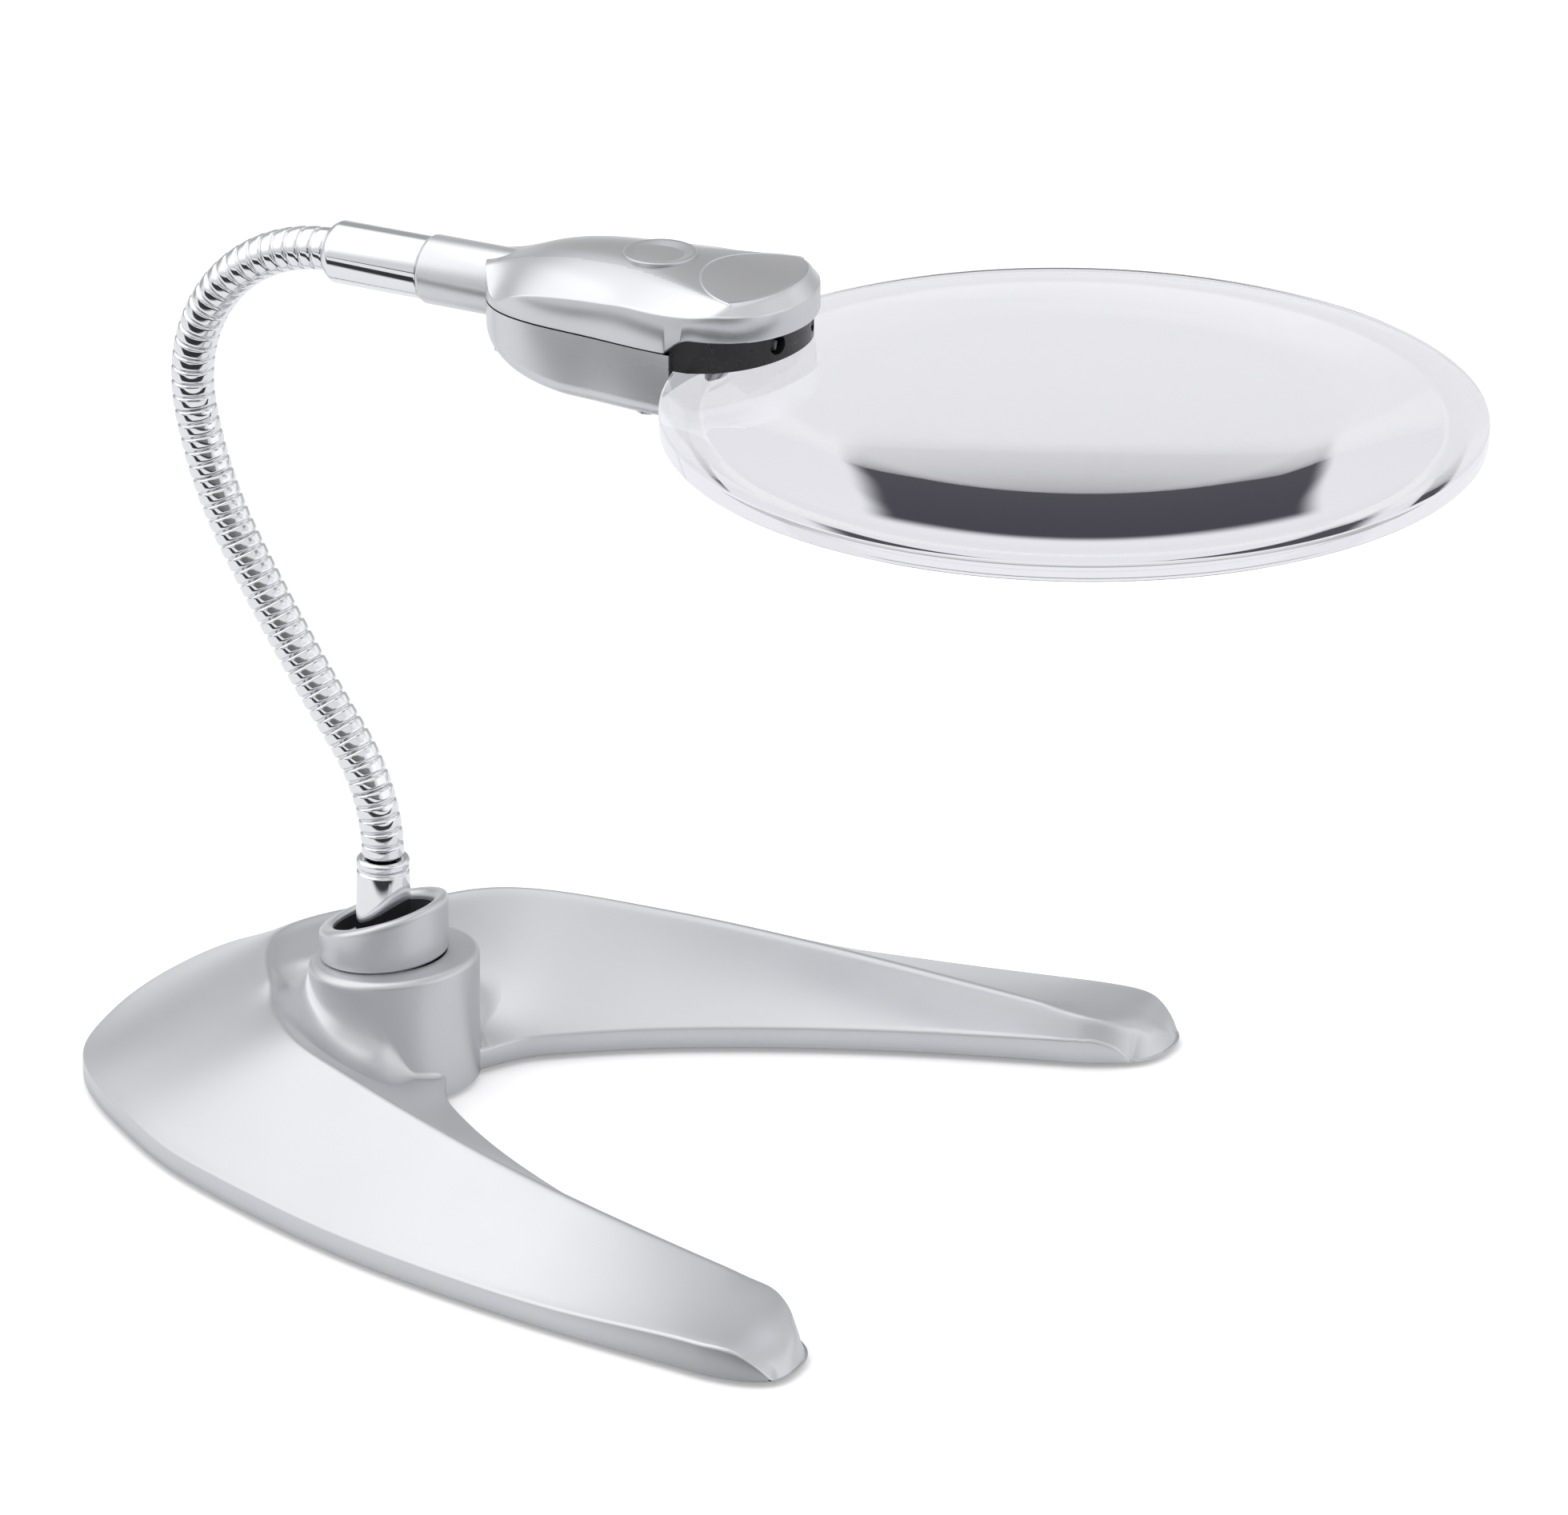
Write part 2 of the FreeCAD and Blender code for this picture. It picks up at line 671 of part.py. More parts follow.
def nut_outline(sketch):
    """A hexagon across its flats, round the stud's hole."""
    corner = "Sizes.nut_across_flats / sqrt(3)"
    shares = [(1, 0), (0.5, 0.5), (-0.5, 0.5), (-1, 0), (-0.5, -0.5), (0.5, -0.5)]
    points = []
    for along_share, across_share in shares:
        x = "%s * %s" % (corner, along_share)
        y = "Sizes.nut_across_flats * %s" % across_share if across_share else "0"
        points.append((x, y))
    polygon(sketch, points)
    circle(sketch, "0", "0", "Sizes.stud_radius + Sizes.hole_clearance")


padded("neck_nut", nut_outline, "Sizes.nut_thickness", nut_low)

# Collar: a cup with a slanted rim that the neck's ferrule stands in
collar_low = size("boss_height")
collar = cylinder(size("collar_radius"), foot_drop, tall)
collar = collar.cut(slanted_top(collar_low, size("boss_slant")))
rim = slanted_top(collar_low + size("collar_height"), size("collar_slant"))
collar = collar.common(rim)
floor = slanted_top(collar_low + size("collar_floor"), size("boss_slant"))
recess = cylinder(size("collar_bore_radius"), foot_drop, tall).cut(floor)
collar = collar.cut(recess)
collar = collar.cut(stud_hole)
solid_piece("neck_collar", collar)

# Lower ferrule, crimped on the neck
floor_rise = "Sizes.ferrule_radius * tan(Sizes.boss_slant * 1 deg)"
ferrule_low = "Sizes.boss_height + Sizes.collar_floor + " + floor_rise
ferrule_top = "Sizes.neck_start_height - Sizes.hinge_gap / 2"
lip_low = ferrule_top + " - Sizes.ferrule_lip_height"
crimp_low = lip_low + " - Sizes.crimp_width"
bore = "Sizes.stud_radius + Sizes.hole_clearance"
bore_top = stud_low + " + Sizes.stud_length + Sizes.hole_clearance"
turned("lower_ferrule", [
    (bore, ferrule_low),
    ("Sizes.ferrule_radius", ferrule_low),
    ("Sizes.ferrule_lip_radius", crimp_low),
    ("Sizes.ferrule_lip_radius - Sizes.crimp_depth", crimp_low),
    ("Sizes.ferrule_lip_radius - Sizes.crimp_depth", lip_low),
    ("Sizes.ferrule_lip_radius", lip_low),
    ("Sizes.ferrule_lip_radius", ferrule_top + " - Sizes.crimp_depth"),
    ("Sizes.ferrule_lip_radius - Sizes.crimp_depth", ferrule_top),
    ("0", ferrule_top),
    ("0", bore_top),
    (bore, bore_top),
])

# Upper ferrule and head tube, along the head's own axis
tube_bore = "Sizes.tube_spigot_radius + Sizes.hole_clearance"
spigot_start = "Sizes.head_ferrule_length - Sizes.tube_overlap"
turned("upper_ferrule", [
    ("Sizes.hinge_gap / 2", "0"),
    ("Sizes.hinge_gap / 2", "Sizes.head_ferrule_radius - Sizes.head_ferrule_round"),
    ("Sizes.head_ferrule_round / 3", "Sizes.head_ferrule_radius - Sizes.head_ferrule_round / 3"),
    ("Sizes.head_ferrule_round", "Sizes.head_ferrule_radius"),
    ("Sizes.head_ferrule_length", "Sizes.head_ferrule_radius"),
    ("Sizes.head_ferrule_length", tube_bore),
    (spigot_start + " - Sizes.hole_clearance", tube_bore),
    (spigot_start + " - Sizes.hole_clearance", "0"),
], "H_Axis", head_place)
tube_end = "Sizes.head_start + Sizes.tube_insertion"
tube_start = "Sizes.head_ferrule_length + Sizes.hole_clearance"
turned("head_tube", [
    (spigot_start, "0"),
    (spigot_start, "Sizes.tube_spigot_radius"),
    (tube_start, "Sizes.tube_spigot_radius"),
    (tube_start, "Sizes.tube_radius"),
    (tube_end, "Sizes.tube_radius"),
    (tube_end, "0"),
], "H_Axis", head_place)


# Moulded head


def head_plan(depth=0.0):
    """The head seen from above; a depth gives an outline inside it."""
    length, half = size("head_length"), size("head_half_width")
    side = [(size("head_start") + x * length, y * half) for x, y in head_plan_shares]
    places = [Vector(x, y, 0) for x, y in side + list(reversed(mirrored(side)))[1:-1]]
    curve = Part.BSplineCurve()
    curve.interpolate(Points=places, PeriodicFlag=True)
    if depth:
        count = 6 * len(places)
        first, last = curve.FirstParameter, curve.LastParameter
        inner_places = []
        for index in range(count):
            at = first + (last - first) * index / count
            along = curve.tangent(at)[0]
            inner_places.append(curve.value(at) + Vector(along.y, -along.x, 0) * depth)
        curve = Part.BSplineCurve()
        curve.interpolate(Points=inner_places, PeriodicFlag=True)
    return Part.Face(Part.Wire(curve.toShape()))


def head_section(row):
    """Walls, sloping shoulders and a crowned top, at one place along the head."""
    along, wall_share, height_share, top_share, top_height_share = row
    x = size("head_start") + along * size("head_length")
    half = wall_share * size("head_half_width")
    shoulder = height_share * size("head_top")
    top = top_share * size("head_half_width")
    top_height = top_height_share * size("head_top")
    low = -size("head_depth")
    left_spots = [(-half, low), (-half, shoulder), (-top, top_height)]
    spots = left_spots + [(-y, z) for y, z in reversed(left_spots)]
    corners = [Vector(x, y, z) for y, z in spots]
    crown = Vector(x, 0, top_height + size("head_crown"))
    edges = [Part.makeLine(a, b) for a, b in zip(corners, corners[1:] + corners[:1])]
    edges[2] = Part.Arc(corners[2], crown, corners[3]).toShape()
    return Part.Wire(edges)


head_start, head_length = size("head_start"), size("head_length")
head_wall = size("head_wall")
head_top, head_depth = size("head_top"), size("head_depth")
overrun = size("overrun")
parting = -size("parting_drop")
clearance = size("hole_clearance")
half_width = size("head_half_width")
head_end = head_start + head_length
high = head_top + size("head_crown") + overrun
low = -head_depth - overrun
front_x = head_start + size("visor_start")
plan = head_plan()
inside = head_plan(head_wall)
head_form = Part.makeLoft([head_section(row) for row in head_section_shares], True, False, False, 5)
chamfer_width, chamfer_height = size("nose_chamfer_width"), size("nose_chamfer_height")
levels = [(0.0, parting), (0.0, head_top - chamfer_height), (2 * chamfer_width, head_top + chamfer_height)]
skirt = [head_plan(depth).OuterWire.copy() for depth, height in levels]
for wire, (depth, height) in zip(skirt, levels):
    wire.translate(Vector(0, 0, height))
head_form = head_form.common(Part.makeLoft(skirt, True, True))
beyond_left, beyond_right = -2 * half_width, 2 * half_width
beyond_front = head_end + overrun
visor_space = box_between((front_x, beyond_left, low), (beyond_front, beyond_right, size("visor_gap")))

lens_x = size("lens_start") + size("lens_radius")
lens_z = -size("lens_drop")
lens_well = cylinder(size("lens_radius") + size("lens_clearance"), low, parting, lens_x)
shell_spots = [(head_start + x * head_length, y * half_width) for x, y in shell_screw_shares]
shell_posts = [cylinder(size("shell_post_radius"), low, high, x, y) for x, y in shell_spots]
tube_end = head_start + size("tube_insertion")
tube_hole = along_x(size("tube_radius") + clearance, head_start - overrun, tube_end)
rib = box_between(
    (size("rib_start"), -half_width, -head_depth),
    (size("rib_start") + size("rib_width"), half_width, head_top),
)
button_x = size("button_centre")
button_well = cylinder(
    size("button_radius") + size("button_flange_width") + size("button_clearance") * 2,
    parting, size("button_roof"), button_x,
)
button_hole = cylinder(size("button_radius") + size("button_clearance"), parting, high, button_x)

# Upper shell: ceiling space, button well and screw posts inside
ceiling = raised(inside, parting - overrun, size("head_ceiling"))
front_wall = box_between((front_x - head_wall, beyond_left, low), (beyond_front, beyond_right, high))
room = ceiling.cut(front_wall)
room = room.cut(Part.makeCompound(shell_posts)).cut(rib)
upper = head_form.cut(visor_space).cut(room)
upper = upper.cut(button_well).cut(button_hole).cut(tube_hole)
screw_pilot = size("shell_screw_radius") + clearance
screw_high = size("shell_screw_reach") + clearance
for x, y in shell_spots:
    upper = upper.cut(cylinder(screw_pilot, low, screw_high, x, y))

# Bare inset panel at the front of the top face
panel_disc = cylinder(size("panel_radius"), parting, high, size("panel_centre"))
panel_inset = size("panel_margin") + chamfer_width
panel_outline = raised(head_plan(panel_inset), parting, high)
panel_form = panel_disc.common(panel_outline)
sunk_form = head_form.copy()
sunk_form.translate(Vector(0, 0, -size("panel_depth")))
panel_room = panel_form.cut(sunk_form)
upper = upper.cut(panel_room)
solid_piece("upper_shell", upper, head_place)
slim_disc = cylinder(size("panel_radius") - size("panel_clearance"), parting, high, size("panel_centre"))
slim_outline = raised(head_plan(panel_inset + size("panel_clearance")), parting, high)
raised_form = head_form.copy()
raised_form.translate(Vector(0, 0, -size("panel_clearance")))
panel = slim_disc.common(slim_outline).common(raised_form).cut(sunk_form)
solid_piece("top_panel", panel, head_place)


# Lower shell: keel profile, cell well, cap seat and the concave front that clears the lens


def keel_block(sink=0.0):
    """Everything above the head's underside; a positive sink lifts it by the floor's thickness."""
    spots = [(head_start + x * head_length, -y * head_depth + sink) for x, y in head_keel_shares]
    curve = Part.BSplineCurve()
    curve.interpolate([Vector(x, -2 * half_width, z) for x, z in spots])
    first_x, first_z = spots[0]
    last_x, last_z = spots[-1]
    path = [
        (last_x, last_z), (head_end + overrun, last_z), (head_end + overrun, high),
        (first_x - overrun, high), (first_x - overrun, first_z), (first_x, first_z),
    ]
    corners = [Vector(x, -2 * half_width, z) for x, z in path]
    edges = [curve.toShape()] + [Part.makeLine(a, b) for a, b in zip(corners, corners[1:])]
    return Part.Face(Part.Wire(edges)).extrude(Vector(0, 4 * half_width, 0))


cell_x = size("cell_centre")
lower = raised(plan, low, parting).common(keel_block())
lower = lower.cut(lens_well)
lower = lower.cut(box_between((front_x, -2 * half_width, low), (head_end + overrun, 2 * half_width, high)))
room = raised(inside, low, high).common(keel_block(size("head_floor")))
room = room.cut(cylinder(size("lens_radius") + head_wall, low, high, lens_x))
room = room.cut(Part.makeCompound(shell_posts)).cut(rib)
lower = lower.cut(room).cut(tube_hole)
cap_low = -head_depth
cap_high = cap_low + size("cap_thickness")
cap_seat = cap_high + size("cap_clearance")
lower = lower.cut(cylinder(size("cap_radius") + size("cap_clearance"), low, cap_seat, cell_x))
lower = lower.cut(cylinder(size("cell_radius") + size("cell_clearance"), low, parting, cell_x))
lower = lower.cut(Part.makeCompound([cylinder(screw_pilot, low, high, x, y) for x, y in shell_spots]))
seat_radius = size("shell_screw_head_radius") + clearance


def keel_height(x):
    """Height of the head's underside at a place along it, from its table of shares."""
    spots = [(head_start + a * head_length, -b * head_depth) for a, b in head_keel_shares]
    for (x1, z1), (x2, z2) in zip(spots, spots[1:]):
        if x <= x2:
            return z1 + (z2 - z1) * (x - x1) / (x2 - x1)
    return spots[-1][1]


screw_seats = []
for x, y in shell_spots:
    screw_seats.append(keel_height(x) + size("shell_screw_head_height") + size("shell_screw_radius"))
for (x, y), seat in zip(shell_spots, screw_seats):
    lower = lower.cut(cylinder(seat_radius, low, seat, x, y))
solid_piece("lower_shell", lower, head_place)

shell_screws = []
for (x, y), seat in zip(shell_spots, screw_seats):
    top = seat - clearance / 2
    head = cylinder(size("shell_screw_head_radius"), top - size("shell_screw_head_height"), top, x, y)
    shank = cylinder(size("shell_screw_radius"), top, size("shell_screw_reach"), x, y)
    shell_screws.append(head.fuse(shank).removeSplitter())
solid_piece("shell_screws", Part.makeCompound(shell_screws), head_place)

# Push button with its flange and stem, dished on top
button_top = "Sizes.head_top + Sizes.head_crown + Sizes.button_proud"
flange_top = "Sizes.button_roof - Sizes.button_flange_gap"
flange_low = flange_top + " - Sizes.button_flange_thickness"
stem_low = "Sizes.board_top + Sizes.dome_height"
flange_radius = "Sizes.button_radius + Sizes.button_flange_width"


def along_head(distance, depth=0.0):
    """The head's placement, moved along and down by sizes of the head."""
    return head_place.multiply(FreeCAD.Placement(Vector(distance, 0, depth), FreeCAD.Rotation()))


button_rim = "Sizes.button_radius - Sizes.button_dish"
turned("push_button", [
    ("0", stem_low),
    ("Sizes.button_stem_radius", stem_low),
    ("Sizes.button_stem_radius", flange_low),
    (flange_radius, flange_low),
    (flange_radius, flange_top),
    ("Sizes.button_radius", flange_top),
    ("Sizes.button_radius", button_top + " - Sizes.button_dish"),
    (button_rim, button_top),
    ("Sizes.button_radius / 2", button_top + " - Sizes.button_dish * 0.6"),
    ("0", button_top + " - Sizes.button_dish"),
], "V_Axis", along_head(button_x))

# Silicone dome that springs the button back, standing on the board
turned("button_dome", [
    ("Sizes.dome_radius - Sizes.dome_wall", "Sizes.board_top"),
    ("Sizes.dome_radius", "Sizes.board_top"),
    ("Sizes.button_stem_radius", stem_low),
    ("0", stem_low),
    ("0", stem_low + " - Sizes.dome_wall"),
    ("Sizes.button_stem_radius - Sizes.dome_wall", stem_low + " - Sizes.dome_wall"),
], "V_Axis", along_head(button_x))


def board_outline(sketch):
    polygon(sketch, [
        ("Sizes.board_start", "-Sizes.board_half_width"),
        ("Sizes.board_end", "-Sizes.board_half_width"),
        ("Sizes.board_end", "Sizes.board_half_width"),
        ("Sizes.board_start", "Sizes.board_half_width"),
    ])


padded(
    "circuit_board", board_outline, "Sizes.board_thickness",
    "Sizes.board_top - Sizes.board_thickness", head_place,
)

# Two coin cells over the cap, and the contact spring under the board
cell_low = cap_seat
cells = []
for number in range(2):
    base = cell_low + number * size("cell_thickness")
    cells.append(cylinder(size("cell_radius"), base, base + size("cell_thickness"), cell_x))
solid_piece("coin_cells", Part.makeCompound(cells), head_place)
contact_top = size("board_top") - size("board_thickness")
cell_top = cell_low + 2 * size("cell_thickness")
contact_half = size("contact_width") / 2
contact_end = cell_x + size("cell_radius") / 2
contact_start = cell_x - size("cell_radius") / 2
thin = size("contact_thickness")
contact_path = [
    (contact_start, contact_top), (contact_start, contact_top - thin),
    (cell_x, cell_top), (cell_x + contact_half, cell_top), (contact_end, contact_top - thin),
    (contact_end, contact_top), (contact_end - thin, contact_top), (cell_x + contact_half, cell_top + thin),
    (cell_x, cell_top + thin), (contact_start + thin, contact_top),
]
contact_corners = [Vector(x, -contact_half, z) for x, z in contact_path]
contact = Part.Face(Part.makePolygon(contact_corners + contact_corners[:1]))
solid_piece("cell_contact", contact.extrude(Vector(0, 2 * contact_half, 0)), head_place)

# Battery cap: a disc with a coin slot, turned in the underside
cap = cylinder(size("cap_radius"), cap_low, cap_high, cell_x)
slot_half = size("coin_slot_width") / 2
slot_reach = size("coin_slot_length") / 2
slot = box_between(
    (cell_x - slot_reach, -slot_half, low),
    (cell_x + slot_reach, slot_half, cap_low + size("coin_slot_depth")),
)
solid_piece("battery_cap", cap.cut(slot), head_place)


# Lens: two spherical faces inside a flat flange


def sag(radius, curve):
    return curve - sqrt(curve * curve - radius * radius)


def lens_dome(radius):
    """The lens's optical body up to a radius, with the flange's thickness at its edge."""
    edge = size("lens_edge") / 2
    clear = size("lens_radius") - size("lens_flange")
    top_curve, under_curve = size("lens_top_curve"), size("lens_under_curve")
    top_centre = lens_z + edge + sag(clear, top_curve) - top_curve
    under_centre = lens_z - edge - sag(clear, under_curve) + under_curve
    tall_disc = cylinder(radius, lens_z - radius, lens_z + radius, lens_x)
    top = Part.makeSphere(top_curve, Vector(lens_x, 0, top_centre))
    under = Part.makeSphere(under_curve, Vector(lens_x, 0, under_centre))
    return tall_disc.common(top).common(under)


edge = size("lens_edge") / 2
flange = cylinder(size("lens_radius"), lens_z - edge, lens_z + edge, lens_x)
lens_body = flange.fuse(lens_dome(size("lens_radius") - size("lens_flange"))).removeSplitter()
lens_screw_x = size("lens_start") + size("lens_screw_inset")
lens_screw_spots = [(lens_screw_x, side * size("lens_screw_spacing") / 2) for side in (1, -1)]
lens_seat = lens_z - edge
for x, y in lens_screw_spots:
    seat = cylinder(size("lens_screw_head_radius") + clearance, low, lens_seat, x, y)
    hole = cylinder(size("lens_screw_radius") + clearance, low, head_top, x, y)
    lens_body = lens_body.cut(seat).cut(hole)
solid_piece("lens", lens_body, head_place)

# Black lamp bar: fills the gap between the lens and the visor, and takes the lens screws and the lamps
bar = raised(head_plan(size("bar_margin")), lens_z, size("visor_gap"))
bar_start = head_start + size("bar_start")
bar = bar.common(box_between((bar_start, beyond_left, low), (head_end, beyond_right, high)))
lens_shape = flange.fuse(lens_dome(size("lens_radius") - size("lens_flange")))
lens_shape.translate(Vector(0, 0, size("lens_seat_clearance")))
under_lens = cylinder(size("lens_radius"), lens_z - edge, lens_z, lens_x)
bar = bar.cut(lens_shape).cut(under_lens)
lens_screw_top = lens_seat + size("lens_screw_length")
for x, y in lens_screw_spots:
    bar = bar.cut(cylinder(size("lens_screw_radius") + clearance, low, lens_screw_top, x, y))


def led_front(y):
    """Where the bar's curved front lies at a distance from the middle."""
    height = size("led_height")
    probe = Part.makeLine(Vector(head_start, y, height), Vector(head_end, y, height))
    return max(vertex.X for vertex in probe.common(bar).Vertexes)


led_spots = [size("led_spacing") / 2, -size("led_spacing") / 2]
led_fronts = [led_front(y) for y in led_spots]
leds = []
for y, front in zip(led_spots, led_fronts):
    end = front - size("led_recess")
    start = end - size("led_length")
    bar = bar.cut(along_x(size("led_radius") + clearance, start, head_end, y, size("led_height")))
    radius, tip_start = size("led_radius"), end - size("led_radius") / 2
    lamp = along_x(radius, start, tip_start, y, size("led_height"))
    tip_place = Vector(tip_start, y, size("led_height"))
    tip = Part.makeCone(radius, radius / 2, radius / 2, tip_place, Vector(1, 0, 0))
    leds.append(lamp.fuse(tip))
solid_piece("lamp_bar", bar, head_place)
solid_piece("white_leds", Part.makeCompound(leds), head_place)

lens_screws = []
for x, y in lens_screw_spots:
    top = lens_seat - clearance / 2
    head = cylinder(size("lens_screw_head_radius"), top - size("lens_screw_head_height"), top, x, y)
    shank = cylinder(size("lens_screw_radius"), top, lens_screw_top - clearance, x, y)
    lens_screws.append(head.fuse(shank).removeSplitter())
solid_piece("lens_screws", Part.makeCompound(lens_screws), head_place)

# Recompute, check every object and write one STEP file for each sub-part
doc.recompute()
helpers = set(pads)
for item in doc.Objects:
    if "Invalid" in item.State or "Error" in item.State:
        raise RuntimeError("%s failed: %s" % (item.Label, item.State))
parts = []
for item in doc.Objects:
    if item in helpers or not hasattr(item, "Shape") or item.getParentGeoFeatureGroup():
        continue
    if item.TypeId in ("PartDesign::Body", "Part::Feature", "Part::MultiFuse"):
        parts.append(item)
for item in parts:
    if item.Shape.isNull() or not item.Shape.isValid() or not item.Shape.Solids:
        raise RuntimeError("%s has no valid solid" % item.Label)
for item in parts:
    item.Shape.exportStep("parts/%s.step" % item.Label)
print("neck length %.1f mm, head at x %.2f z %.2f" % (neck_length(), head_x, head_z))
print("%d sub-parts" % len(parts))
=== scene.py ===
from math import atan2, cos, degrees, hypot, pi, radians, sin, sqrt, tan

import bmesh
import bpy
import numpy as np
from mathutils import Matrix, Vector
from mathutils.bvhtree import BVHTree


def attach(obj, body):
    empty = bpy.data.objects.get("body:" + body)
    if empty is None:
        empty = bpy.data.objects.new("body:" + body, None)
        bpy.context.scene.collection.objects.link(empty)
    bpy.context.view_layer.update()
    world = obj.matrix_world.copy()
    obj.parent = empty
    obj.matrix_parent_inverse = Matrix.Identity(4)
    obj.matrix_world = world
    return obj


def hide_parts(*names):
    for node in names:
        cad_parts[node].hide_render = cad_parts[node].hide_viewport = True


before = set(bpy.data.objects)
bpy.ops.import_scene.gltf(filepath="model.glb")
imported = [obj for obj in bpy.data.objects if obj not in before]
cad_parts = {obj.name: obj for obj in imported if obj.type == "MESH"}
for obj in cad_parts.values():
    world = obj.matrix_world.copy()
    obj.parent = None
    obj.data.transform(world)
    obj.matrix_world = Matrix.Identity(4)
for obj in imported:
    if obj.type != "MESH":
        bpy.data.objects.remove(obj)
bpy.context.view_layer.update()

# Sizes are written in millimetres and turned into metres when a mesh is made
MM = 0.001

# Main sizes, as in the solids
REACH = 113.0
HALF_WIDTH = 77.5
CREST = 21.6
EDGE = 4.6
FLOOR_GAP = 0.8
BOSS_X = 1.8
BOSS_RADIUS = 14.4
BOSS_HEIGHT = 21.8
BOSS_SLANT = tan(radians(5.0))
NECK_START = 39.4
NECK_ARCS = [(21.4, -36.0), (36.0, 6.0), (25.0, 20.0), (47.0, 100.0)]
SEGMENTS = 11
RIBS = 5

# Helpers for curves


def smooth_through(points, count, at=None):
    """Points on a natural cubic curve through the given ones, spread evenly unless places are given."""
    points = np.asarray(points, float)
    steps = np.linalg.norm(np.diff(points[:, :2], axis=0), axis=1) if at is None else np.diff(at)
    place = np.concatenate([[0], np.cumsum(steps)])
    place = place / place[-1]
    gaps = np.diff(place)
    size = len(points)
    matrix = np.zeros((size, size))
    right = np.zeros_like(points)
    matrix[0, 0] = matrix[-1, -1] = 1
    for k in range(1, size - 1):
        matrix[k, k - 1], matrix[k, k + 1] = gaps[k - 1], gaps[k]
        matrix[k, k] = 2 * (gaps[k - 1] + gaps[k])
        right[k] = 6 * ((points[k + 1] - points[k]) / gaps[k] - (points[k] - points[k - 1]) / gaps[k - 1])
    bend = np.linalg.solve(matrix, right)
    spots = np.linspace(0, 1, count)
    index = np.clip(np.searchsorted(place, spots, side="right") - 1, 0, size - 2)
    h = gaps[index][:, None]
    a = (place[index + 1] - spots)[:, None] / h
    b = 1 - a
    curve = a * points[index] + b * points[index + 1]
    return curve + ((a ** 3 - a) * bend[index] + (b ** 3 - b) * bend[index + 1]) * h * h / 6


def soft_min(a, b, width):
    """The lower of two heights, with a rounded change between them."""
    h = np.maximum(width - np.abs(a - b), 0) / width
    return np.minimum(a, b) - h * h * width / 4


def distance_to(line, x, y):
    """Least distance from a place to a polyline."""
    a, b = line[:-1], line[1:]
    step = b - a
    spot = np.array([x, y])
    t = np.clip(((spot - a) * step).sum(1) / np.maximum((step * step).sum(1), 1e-12), 0, 1)
    return float(np.sqrt((((a + step * t[:, None]) - spot) ** 2).sum(1).min()))


# Helpers for meshes


class Build:
    """Collects vertices and faces in millimetres, then makes one object from them."""

    def __init__(self):
        self.places = []
        self.faces = []

    def add(self, places):
        start = len(self.places)
        self.places.extend(tuple(p) for p in places)
        return list(range(start, len(self.places)))

    def grid(self, rows, close_rows=False, close_columns=False, flip=False):
        """Quads between rows of points of equal length."""
        table = [self.add(row) for row in rows]
        count, width = len(table), len(table[0])
        for i in range(count if close_rows else count - 1):
            for j in range(width if close_columns else width - 1):
                i2, j2 = (i + 1) % count, (j + 1) % width
                quad = [table[i][j], table[i][j2], table[i2][j2], table[i2][j]]
                self.faces.append(quad[::-1] if flip else quad)
        return table

    def cap(self, ring, flip=False):
        self.faces.append(list(ring)[::-1] if flip else list(ring))

    def make(self, name, material, body, replaced=(), sharp=38.0, merge=0.002):
        mesh = bpy.data.meshes.new(name)
        mesh.from_pydata([tuple(c * MM for c in p) for p in self.places], [], self.faces)
        tidy(mesh, merge)
        mesh.materials.append(material)
        piece = bpy.data.objects.new(name, mesh)
        bpy.context.collection.objects.link(piece)
        finish_shading(mesh, sharp)
        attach(piece, body)
        if replaced:
            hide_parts(*replaced)
        return piece


def tidy(mesh, merge):
    """Joins doubled points and turns every face outward."""
    work = bmesh.new()
    work.from_mesh(mesh)
    if merge:
        bmesh.ops.remove_doubles(work, verts=work.verts, dist=merge * MM)
    bmesh.ops.dissolve_degenerate(work, edges=work.edges, dist=1e-9)
    bmesh.ops.recalc_face_normals(work, faces=work.faces)
    work.to_mesh(mesh)
    work.free()


def finish_shading(mesh, sharp):
    mesh.polygons.foreach_set("use_smooth", [True] * len(mesh.polygons))
    mesh.set_sharp_from_angle(angle=radians(sharp))
    mesh.update()


def lathe(build, profile, centre=(0, 0, 0), axis="z", steps=96, slant=None):
    """Turns a profile of (radius, along) pairs about an axis; a slant lifts each ring along +X."""
    rows = []
    for radius, along in profile:
        row = []
        for k in range(steps):
            t = 2 * pi * k / steps
            if axis == "z":
                x, y, z = radius * cos(t), radius * sin(t), along
                if slant:
                    z += slant(along) * x
            else:
                x, y, z = along, radius * cos(t), radius * sin(t)
            row.append((centre[0] + x, centre[1] + y, centre[2] + z))
        rows.append(row)
    return build.grid(rows, close_columns=True)


def rounded(profile, radius, steps=5):
    """Rounds the inner corners of an open profile of pairs."""
    result = [profile[0]]
    for before, corner, after in zip(profile, profile[1:], profile[2:]):
        a, b, c = (np.array(p, float) for p in (before, corner, after))
        u, v = a - b, c - b
        reach = min(radius, np.linalg.norm(u) / 2, np.linalg.norm(v) / 2)
        start, end = b + u / np.linalg.norm(u) * reach, b + v / np.linalg.norm(v) * reach
        for t in np.linspace(0, 1, steps):
            result.append(tuple((1 - t) ** 2 * start + 2 * t * (1 - t) * b + t * t * end))
    result.append(profile[-1])
    return result


# Materials


